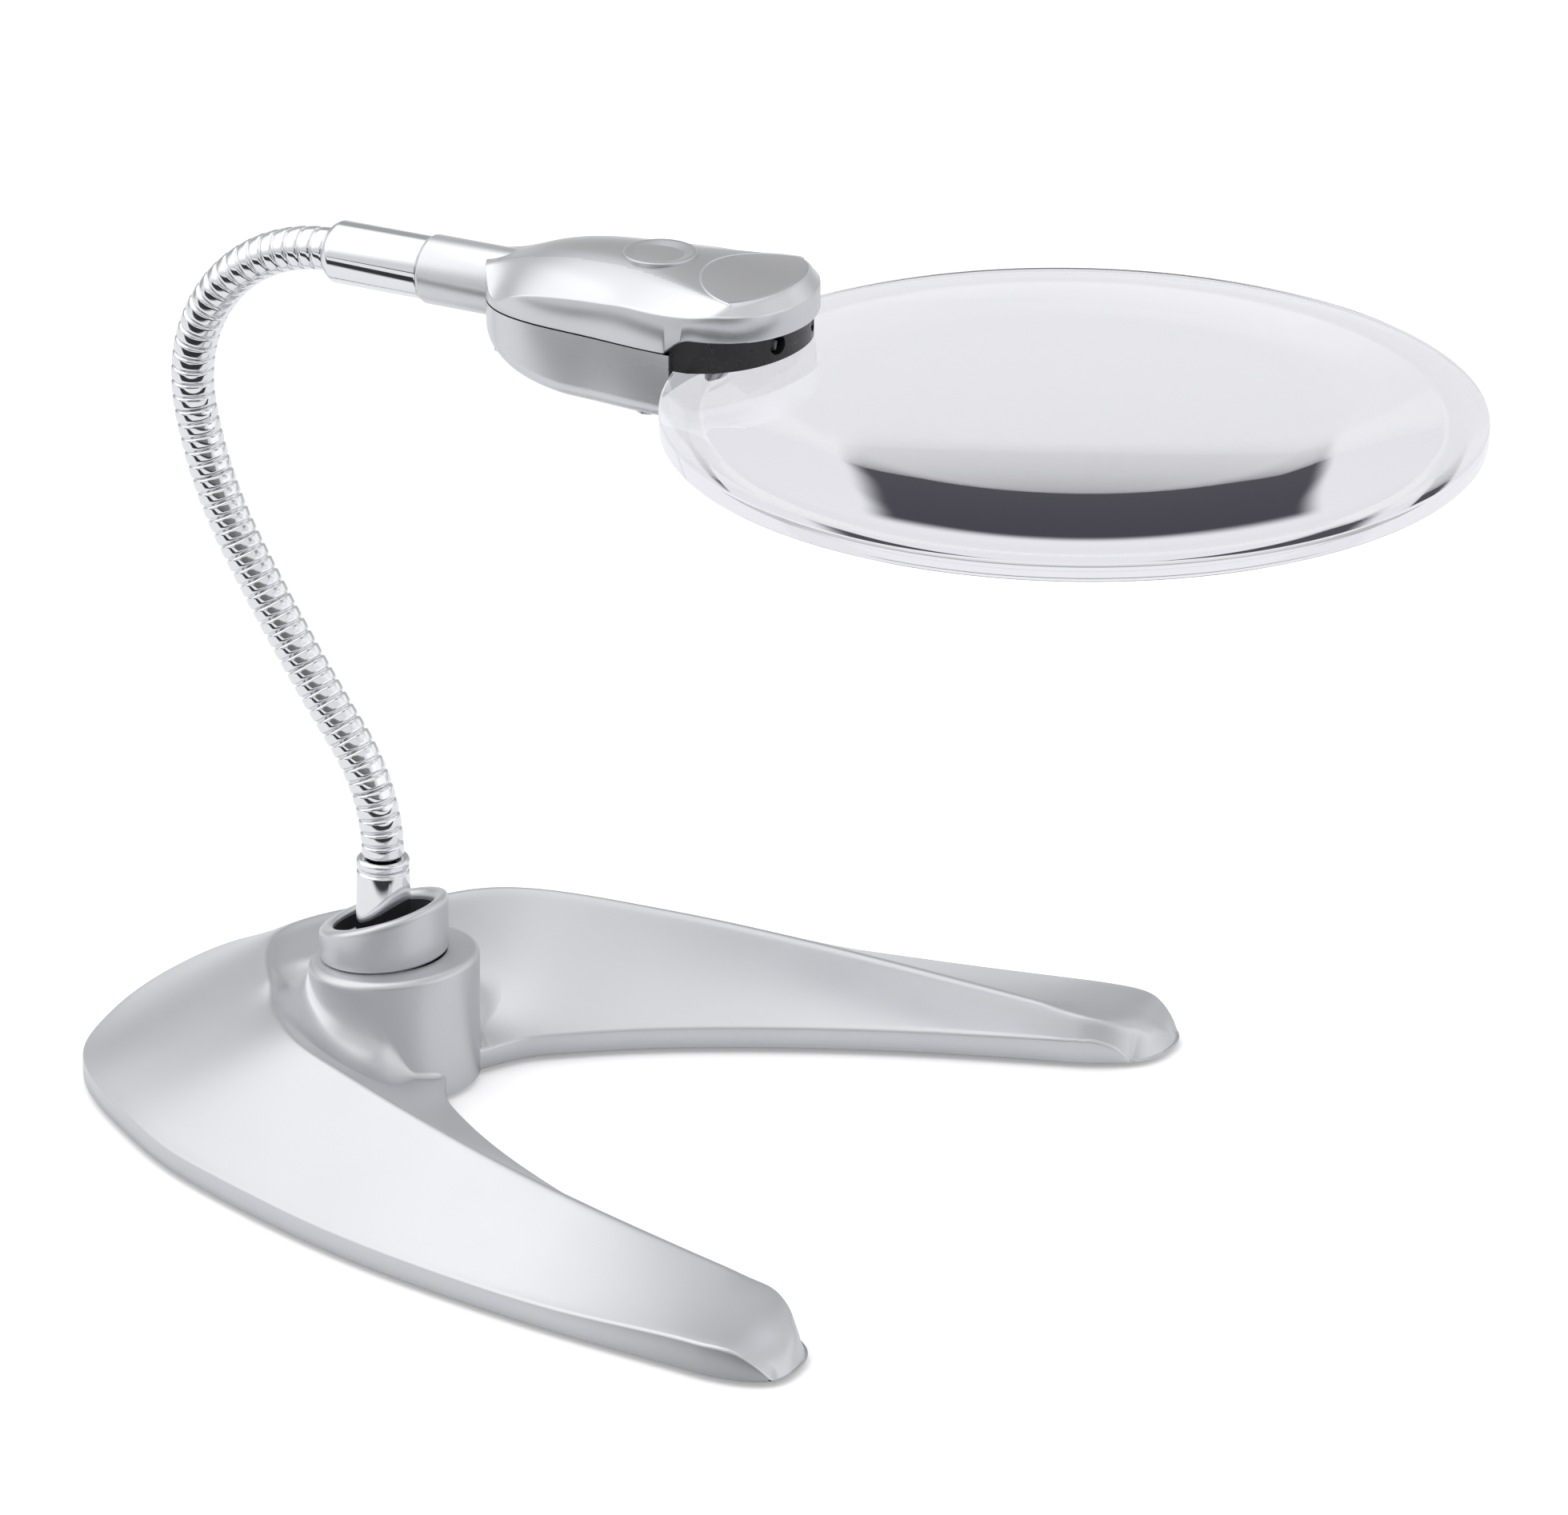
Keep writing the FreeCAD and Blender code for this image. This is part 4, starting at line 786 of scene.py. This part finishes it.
band_shares = [0.0, 0.03, 0.05, 0.08, 0.12, 0.18, 0.3, 0.5, 0.7, 0.82, 0.88, 0.92, 0.95, 0.97]
for number in range(SEGMENTS):
    neck = Build()
    rows = []
    begin = number * NECK_LENGTH / SEGMENTS
    shares = [(rib, share) for rib in range(RIBS) for share in band_shares]
    shares.append((RIBS - 1, 1.0))
    for rib, share in shares:
        distance = begin + (rib + share) * PITCH
        distance = min(max(distance, begin + 0.03), begin + NECK_LENGTH / SEGMENTS - 0.03)
        x, z, heading = neck_route(distance)
        radius = band_radius(share)
        row = []
        for k in range(48):
            t = 2 * pi * k / 48
            side, up = radius * cos(t), radius * sin(t)
            row.append((x + side * cos(heading), up, z - side * sin(heading)))
        rows.append(row)
    table = neck.grid(rows, close_columns=True)
    neck.cap(table[0])
    neck.cap(table[-1], True)
    name = "neck_segment_%02d" % (number + 1)
    neck.make("wound_" + name, chrome, "neck_%02d" % (number + 1), [name], sharp=55.0)

# Head: everything is placed from the end of the neck
HEAD_X, HEAD_Z = neck_route(NECK_LENGTH)[:2]


def in_head(x, y, z):
    return (HEAD_X + x, y, HEAD_Z + z)


upper_ferrule = Build()
lathe(upper_ferrule, rounded([
    (3.0, 0.35), (3.75, 0.35), (4.75, 0.6), (5.2, 1.6), (5.2, 18.05), (4.95, 18.2), (3.85, 18.2),
], 0.3, 4), (HEAD_X, 0, HEAD_Z), "x", 128)
upper_ferrule.make("chrome_ferrule", chrome, "head", ["upper_ferrule"])
tube = Build()
lathe(tube, rounded([
    (3.8, 18.26), (5.35, 18.26), (5.7, 18.7), (5.7, 39.5), (1.0, 39.5),
], 0.25, 4), (HEAD_X, 0, HEAD_Z), "x", 128)
tube.make("satin_tube", head_silver, "head", ["head_tube"])

# Moulded head shells
HEAD_START = 29.5
HEAD_LENGTH = 57.0
HEAD_HALF = 16.1
HEAD_TOP = 9.1
HEAD_DEPTH = 12.0
PARTING = -0.5
VISOR_GAP = 2.3
VISOR_START = HEAD_START + 39.8
VISOR_RISE = 4.5
LENS_RADIUS = 65.0
LENS_REAR = 68.6
LENS_X = LENS_REAR + LENS_RADIUS
LENS_Z = -5.0
plan_shares = [
    (0.0, 0.0), (0.014, 0.199), (0.037, 0.360), (0.072, 0.547), (0.123, 0.702), (0.207, 0.826),
    (0.435, 0.925), (0.646, 1.0), (0.733, 1.0), (0.839, 0.932), (0.926, 0.733), (0.982, 0.398), (1.0, 0.0),
]
head_side = [(HEAD_START + x * HEAD_LENGTH, y * HEAD_HALF) for x, y in plan_shares]
loop = [(x, -y) for x, y in head_side[1:3]][::-1] + head_side + [(x, -y) for x, y in head_side[-3:-1]][::-1]
head_curve = smooth_through(loop, 900)
head_curve = head_curve[head_curve[:, 1] >= -0.02]
head_curve[0, 1] = head_curve[-1, 1] = 0.0
head_outline = np.vstack([head_curve, head_curve[::-1] * [1, -1]])
head_sections = [
    (-0.03, 0.62, 0.25, 0.40, 0.42),
    (0.057, 0.76, 0.49, 0.25, 0.56),
    (0.18, 0.86, 0.62, 0.31, 0.80),
    (0.325, 0.93, 0.67, 0.37, 0.965),
    (0.593, 1.06, 0.64, 0.48, 1.0),
    (0.735, 1.10, 0.60, 0.64, 0.97),
    (0.88, 1.10, 0.58, 0.79, 0.925),
    (1.03, 1.10, 0.56, 0.85, 0.89),
]
section_places = np.array([row[0] for row in head_sections])
section_curves = smooth_through(np.array(head_sections), 241, section_places)
CROWN = 0.8
CHAMFER_DROP, CHAMFER_WIDTH = 2.6, 1.9


def head_height(x, y):
    """Height of the upper shell: crowned top, sloping shoulders and a chamfered front edge."""
    share = (x - HEAD_START) / HEAD_LENGTH
    values = [np.interp(share, section_curves[:, 0], section_curves[:, k]) for k in range(1, 5)]
    half, shoulder, top, top_height = np.array(values) * (HEAD_HALF, HEAD_TOP, HEAD_HALF, HEAD_TOP)
    plateau = top_height + CROWN * (1 - (y / top) ** 2)
    slope = shoulder + (half - abs(y)) * (top_height - shoulder) / (half - top)
    height = float(soft_min(plateau, slope, 0.3))
    gap = distance_to(head_outline, x, y)
    skirt = HEAD_TOP - CHAMFER_DROP + gap * CHAMFER_DROP / CHAMFER_WIDTH
    return float(soft_min(height, skirt, 0.5))


def head_rows(start, end, count):
    """Rows of plan places across the head, closer together where the outline turns."""
    rows = []
    for share in np.linspace(0, pi, count):
        x = start + (end - start) * (1 - cos(share)) / 2
        half = float(np.interp(x, head_curve[:, 0], head_curve[:, 1]))
        rows.append((x, half))
    return rows


across_head = np.sin(np.linspace(-pi / 2, pi / 2, 121))
upper = Build()
head_end = head_curve[-1, 0]
head_begin = head_curve[0, 0]
rows = head_rows(head_begin, head_end, 220)
table = []
for x, half in rows:
    visor_share = min(max((x - VISOR_START) / VISOR_RISE, 0.0), 1.0)
    low = PARTING + (VISOR_GAP - PARTING) * sin(pi / 2 * visor_share)
    trim = min(0.35, half * 0.3)
    tops = [(x, t * (half - trim), head_height(x, t * (half - trim))) for t in across_head]
    side_height = tops[0][2]
    start = [(x, 0.0, low), (x, -half + trim, low), (x, -half, low + 0.3)]
    start += [(x, -half, side_height - trim), (x, -half + trim * 0.3, side_height - trim * 0.3)]
    end = [(x, -y, z) for _, y, z in start[1:]][::-1]
    table.append([in_head(*p) for p in start + tops + end + [(x, 0.0, low)]])
upper.grid(table)
moulding = upper.make("upper_moulding", head_silver, "head", ["upper_shell"], sharp=50.0)
# The flat of the top is a darker grey
moulding.data.materials.append(head_grey)
for face in moulding.data.polygons:
    x, y = face.center.x / MM - HEAD_X, face.center.y / MM
    top = np.interp((x - HEAD_START) / HEAD_LENGTH, section_curves[:, 0], section_curves[:, 3]) * HEAD_HALF
    if face.normal.z > 0.6 and abs(y) < top - 0.1 and distance_to(head_outline, x, y) > CHAMFER_WIDTH:
        face.material_index = 1

# Inset panel: a thin disc cut off along the front, with a fine raised line at its rear edge
PANEL_X = 81.9
PANEL_RADIUS = 12.6
PANEL_INSET = 2.2


def panel_reach(angle):
    """Distance from the panel's centre to its edge."""
    for reach in np.linspace(PANEL_RADIUS, 0.5, 122):
        x, y = PANEL_X + reach * cos(angle), reach * sin(angle)
        inside = head_begin < x < head_end and abs(y) < np.interp(x, head_curve[:, 0], head_curve[:, 1])
        if inside and distance_to(head_outline, x, y) > PANEL_INSET:
            return reach
    return 0.5


panel = Build()
rows = []
for k in range(144):
    angle = 2 * pi * k / 144
    reach = panel_reach(angle)
    row = []
    for share in np.linspace(0.01, 1, 30):
        x, y = PANEL_X + reach * share * cos(angle), reach * share * sin(angle)
        row.append(in_head(x, y, head_height(x, y) + 0.07))
    x, y = PANEL_X + (reach + 0.05) * cos(angle), (reach + 0.05) * sin(angle)
    row.append(in_head(x, y, head_height(x, y) - 0.1))
    rows.append(row)
panel.grid(rows, close_rows=True)
panel.make("inset_panel", head_grey, "head", ["top_panel"], sharp=50.0)
line = Build()
rows = []
for angle in np.linspace(radians(101), radians(259), 80):
    row = []
    for turn_step in range(9):
        phi = pi * turn_step / 8
        radius = PANEL_RADIUS + 0.14 + 0.24 * cos(phi)
        x, y = PANEL_X + radius * cos(angle), radius * sin(angle)
        row.append(in_head(x, y, head_height(x, y) - 0.05 + 0.26 * sin(phi)))
    rows.append(row)
line.grid(rows)
line.make("panel_line", head_silver, "head", (), sharp=60.0)

keel_shares = [(0.0, 0.515), (0.05, 0.60), (0.155, 0.80), (0.265, 0.94), (0.36, 1.0), (0.6, 1.0), (1.0, 1.0)]
keel_curve = smooth_through(np.array(keel_shares), 201)
FILLET = 3.0


def keel_height(x):
    share = (x - HEAD_START) / HEAD_LENGTH
    return -HEAD_DEPTH * float(np.interp(share, keel_curve[:, 0], np.minimum(keel_curve[:, 1], 1.0)))


# Lower shell: its front is hollowed to clear the lens
lower = Build()
clear = LENS_RADIUS + 0.3
front_middle = LENS_X - clear
table = []
for share in np.linspace(0, 1, 80):
    share = share ** 1.35
    x0 = head_begin + share * (front_middle - head_begin)
    half = float(np.interp(x0, head_curve[:, 0], head_curve[:, 1]))
    row = []
    fillet = min(FILLET, half * 0.5)
    spread = []
    for angle in (0, 18, 36, 54, 72, 90):
        phi = radians(angle)
        spread.append((fillet * (1 - cos(phi)) - half, fillet * (1 - sin(phi))))
    middle = [(-(half - fillet) * (1 - 2 * k / 16), 0.0) for k in range(1, 16)]
    lowers = spread + middle + [(-y, lift) for y, lift in spread[::-1]]
    places = [(-half, None)] + lowers + [(half, None)]
    for y, lift in places:
        front = LENS_X - sqrt(clear * clear - y * y)
        x = x0 + share ** 6 * (front - front_middle)
        z = PARTING if lift is None else min(keel_height(x) + lift, PARTING - 0.2)
        row.append(in_head(x, y, z))
    table.append(row)
lower.grid(table)
front_low = table[-1]
wall = []
for height in (0.0, 1.0):
    wall.append([(x, y, z + (HEAD_Z + PARTING - z) * height) for x, y, z in front_low])
lower.grid(wall, flip=True)
lower.make("lower_moulding", head_silver, "head", ["lower_shell"], sharp=50.0)

# Heads of the four screws in the underside
screw_heads = Build()
for share, out in ((0.11, 0.42), (0.11, -0.42), (0.62, 0.78), (0.62, -0.78)):
    x, y = HEAD_START + share * HEAD_LENGTH, out * HEAD_HALF
    z = keel_height(x)
    lathe(screw_heads, [
        (0.02, z + 0.3), (0.75, z + 0.3), (0.75, z - 0.1), (1.5, z - 0.1), (1.9, z + 0.1),
        (1.9, z + 1.2), (0.02, z + 1.2),
    ], in_head(x, y, 0), steps=40)
screw_heads.make("screw_heads", steel, "head", ["shell_screws"], sharp=40.0)

# Battery cap: a round disc with a coin slot, a little proud of the underside
CAP_X, CAP_RADIUS, CAP_ROUND, CAP_WALL = 55.2, 11.4, 0.35, 1.6
SLOT_HALF, SLOT_REACH, SLOT_DEPTH = 0.9, 7.0, 0.8
cap_low = -HEAD_DEPTH - CAP_ROUND
slot_along = [-7.4, -7.01, -6.99, 0.0, 6.99, 7.01, 7.4]
slot_across = [-0.91, -0.89, 0.0, 0.89, 0.91]
table = []
for y in sorted([CAP_RADIUS * sin(t) for t in np.linspace(-pi / 2, pi / 2, 61)] + slot_across):
    half = sqrt(max(CAP_RADIUS ** 2 - y * y, 0.01))
    row = [(-half, y, cap_low + CAP_WALL)]
    steps = [half * sin(t) for t in np.linspace(-pi / 2, pi / 2, 41)]
    for x in sorted(steps + [max(min(v, half), -half) for v in slot_along]):
        rim = max(min(CAP_RADIUS - hypot(x, y), CAP_ROUND), 0.0)
        z = cap_low + CAP_ROUND - sqrt(max(CAP_ROUND ** 2 - (CAP_ROUND - rim) ** 2, 0.0))
        in_slot = abs(x) < SLOT_REACH and abs(y) < SLOT_HALF
        row.append((x, y, z + (SLOT_DEPTH if in_slot else 0.0)))
    row.append((half, y, cap_low + CAP_WALL))
    table.append([in_head(CAP_X + x, y, z) for x, y, z in row])
battery_cap = Build()
battery_cap.grid(table)
battery_cap.make("slotted_cap", head_silver, "cap", ["battery_cap"], sharp=40.0)

# Push button with a shallow dish
BUTTON_X = 60.2
button_top = HEAD_TOP + CROWN + 0.3
button = Build()
lathe(button, rounded([
    (0.05, 3.0), (2.2, 3.0), (2.2, 6.9), (7.4, 6.9), (7.4, 7.8), (6.0, 7.8), (6.0, button_top),
    (5.3, button_top), (3.0, button_top - 0.55), (0.05, button_top - 0.7),
], 0.35, 5), in_head(BUTTON_X, 0, 0), steps=96)
button.make("dished_button", head_grey, "button", ["push_button"], sharp=45.0)

# Lens: a nearly flat middle, a steeper ring round it and a thin flat flange
lens = Build()
MIDDLE_RADIUS, MIDDLE_CURVE = 41.5, 1100.0
RING_END = 58.5
RING_SLOPE = (0.05, 0.18)


def lens_drop(radius):
    """How far the surface lies under its middle at a radius."""
    inner = min(radius, MIDDLE_RADIUS)
    drop = MIDDLE_CURVE - sqrt(MIDDLE_CURVE ** 2 - inner ** 2)
    if radius > MIDDLE_RADIUS:
        outer = min(radius, RING_END) - MIDDLE_RADIUS
        share = outer / (RING_END - MIDDLE_RADIUS)
        drop += outer * (RING_SLOPE[0] + (RING_SLOPE[1] - RING_SLOPE[0]) * share / 2)
    return drop


HALF_FLANGE = 1.5
lens_rise = lens_drop(LENS_RADIUS)
top_dome = [(r, HALF_FLANGE + lens_rise - lens_drop(r)) for r in np.linspace(0.02, RING_END, 60)]
under_dome = [(r, -z) for r, z in top_dome[::-1]]
flange = rounded([
    (RING_END + 0.2, HALF_FLANGE), (LENS_RADIUS, HALF_FLANGE), (LENS_RADIUS, -HALF_FLANGE),
    (RING_END + 0.2, -HALF_FLANGE),
], 0.35, 4)
lathe(lens, top_dome + flange + under_dome, in_head(LENS_X, 0, LENS_Z), steps=256)
lens.make("clear_lens", acrylic, "head", ["lens"], sharp=20.0, merge=0.03)

# Floor and lights


def stage_plane(name, size, place, material):
    """A square of floor or backdrop."""
    bpy.ops.mesh.primitive_plane_add(size=size, location=place)
    plane = bpy.context.object
    plane.name = name
    plane.data.materials.append(material)


# Where the painted dark reflection on the floor starts and ends, in metres towards the camera
NEAR_START, NEAR_END, FAR_START = (0.10, 0.14), (0.30, 0.26), (0.75, 0.95)


def floor_with_painted_reflection(name, color, roughness):
    """A pale matt floor, white to the camera; only reflections see a painted dark patch of it at the front,
    a painted reflection for polished metal.
    """
    material = new_material(name, color, 0.0, roughness)
    tree = material.node_tree
    shader = tree.nodes["Principled BSDF"]
    shader.inputs["Specular IOR Level"].default_value = 0.1
    shader.inputs["Emission Color"].default_value = (1, 1, 1, 1)
    path = tree.nodes.new("ShaderNodeLightPath")
    lift = math_node(tree, "MULTIPLY", path.outputs["Is Camera Ray"], 0.3)
    tree.links.new(lift, shader.inputs["Emission Strength"])
    geometry = tree.nodes.new("ShaderNodeNewGeometry")
    away = dot_with(tree, geometry.outputs["Position"], TOWARD_VIEWER)
    near = math_node(
        tree, "MULTIPLY", fade_between(tree, away, *NEAR_START), fade_between(tree, away, *NEAR_END))
    front = math_node(tree, "ADD", near, fade_between(tree, away, *FAR_START))
    painted_reflection_mask = math_node(tree, "MULTIPLY", path.outputs["Is Glossy Ray"], front)
    # Painted reflection: this dark colour shows only to glossy rays
    shade = tree.nodes.new("ShaderNodeMix")
    shade.data_type = "RGBA"
    shade.inputs["A"].default_value = (*color, 1)
    shade.inputs["B"].default_value = (0.03, 0.03, 0.035, 1)
    tree.links.new(painted_reflection_mask, shade.inputs["Factor"])
    tree.links.new(shade.outputs["Result"], shader.inputs["Base Color"])
    return material


stage_plane("floor", 4.0, (0, 0, -0.0002), floor_with_painted_reflection("floor", (0.93, 0.93, 0.94), 0.9))


def area_light(name, place, target, size, power):
    data = bpy.data.lights.new(name, "AREA")
    data.shape = "RECTANGLE"
    data.size, data.size_y = size
    data.energy = power
    lamp = bpy.data.objects.new(name, data)
    lamp.location = place
    lamp.rotation_euler = (Vector(target) - Vector(place)).to_track_quat("-Z", "Y").to_euler()
    bpy.context.collection.objects.link(lamp)


area_light("overhead_softbox", (0.05, 0.0, 0.9), (0.05, 0, 0), (0.9, 0.9), 1.0)


def tent_direction(side, rise):
    """A direction from the object: side is measured to the right of straight away from the camera."""
    side, rise = radians(side), radians(rise)
    away = Vector((-sin(AZIMUTH), cos(AZIMUTH), 0))
    rightward = Vector((cos(AZIMUTH), sin(AZIMUTH), 0))
    return cos(rise) * (cos(side) * away + sin(side) * rightward) + sin(rise) * Vector((0, 0, 1))


# Light tent: an even pale level with brighter and darker panels (side, rise, half width, change)
TENT_LEVEL = 0.78
tent_panels = [
    (-85, 45, 38, 0.8),
    (-20, 54, 14, 0.45),
    (5, 28, 20, -0.35),
    (-45, 12, 26, -0.3),
    (45, 2, 22, -0.25),
    (60, 16, 13, 0.4),
    (105, 8, 28, 0.4),
    (150, 35, 35, 0.1),
    (180, 80, 40, -0.12),
]
STRIP_SIDE, STRIP_TOP, STRIP_CHANGE = (0.79, 0.9), (0.32, 0.24), -0.6
world = bpy.data.worlds.new("studio")
bpy.context.scene.world = world
world.use_nodes = True
tree = world.node_tree
tree.nodes.clear()
out = tree.nodes.new("ShaderNodeOutputWorld")
mix = tree.nodes.new("ShaderNodeMixShader")
plain = tree.nodes.new("ShaderNodeBackground")
plain.inputs["Color"].default_value = (1, 1, 1, 1)
studio = tree.nodes.new("ShaderNodeBackground")
studio.inputs["Color"].default_value = (0.99, 0.99, 1.0, 1)
coord = tree.nodes.new("ShaderNodeTexCoord")
direction = coord.outputs["Generated"]
level = TENT_LEVEL
for side, rise, half, change in tent_panels:
    facing = dot_with(tree, direction, tent_direction(side, rise))
    start, end = cos(radians(half * 1.35)), cos(radians(half * 0.55))
    level = math_node(tree, "ADD", fade_between(tree, facing, start, end, 0.0, change), level)
# A dark strip low behind the camera, which draws the dark bars in polished metal
strip = fade_between(tree, dot_with(tree, flattened(tree, direction), TOWARD_VIEWER), *STRIP_SIDE)
low_part = fade_between(tree, dot_with(tree, direction, (0, 0, 1)), *STRIP_TOP)
strip = math_node(tree, "MULTIPLY", math_node(tree, "MULTIPLY", strip, low_part), STRIP_CHANGE)
level = math_node(tree, "ADD", strip, level)
light_path = tree.nodes.new("ShaderNodeLightPath")
tree.links.new(level, studio.inputs["Strength"])
tree.links.new(light_path.outputs["Is Camera Ray"], mix.inputs["Fac"])
tree.links.new(studio.outputs["Background"], mix.inputs[1])
tree.links.new(plain.outputs["Background"], mix.inputs[2])
tree.links.new(mix.outputs["Shader"], out.inputs["Surface"])

# Camera, found by fitting the lens's rim, the base and the neck in the photograph
FOCUS, SCALE = 12000.0, 7.64964
TARGET, TARGET_PIXEL = Vector((0.0408, 0.0, 0.06)), (748.452, 982.133)
SENSOR = 36.0
IMAGE = (1960, 1894)
right = Vector((cos(AZIMUTH), sin(AZIMUTH), 0))
up = Vector((-sin(AZIMUTH) * sin(ELEVATION), cos(AZIMUTH) * sin(ELEVATION), cos(ELEVATION)))
back = Vector((sin(AZIMUTH) * cos(ELEVATION), -cos(AZIMUTH) * cos(ELEVATION), sin(ELEVATION)))
right_rolled = cos(ROLL) * right + sin(ROLL) * up
up_rolled = -sin(ROLL) * right + cos(ROLL) * up
distance = FOCUS / SCALE * MM
across_image = (TARGET_PIXEL[0] - IMAGE[0] / 2) / FOCUS * distance
down_image = (TARGET_PIXEL[1] - IMAGE[1] / 2) / FOCUS * distance
place = TARGET - across_image * right_rolled + down_image * up_rolled + distance * back
camera_data = bpy.data.cameras.new("camera")
camera_data.sensor_width = SENSOR
camera_data.lens = FOCUS / IMAGE[0] * SENSOR
camera_data.clip_start = 0.05
camera_data.clip_end = 30.0
camera = bpy.data.objects.new("camera", camera_data)
bpy.context.collection.objects.link(camera)
turn = Matrix((right_rolled, up_rolled, back)).transposed()
camera.matrix_world = Matrix.Translation(place) @ turn.to_4x4()
bpy.context.scene.camera = camera
bpy.context.scene.view_settings.view_transform = "Standard"

bpy.context.view_layer.update()
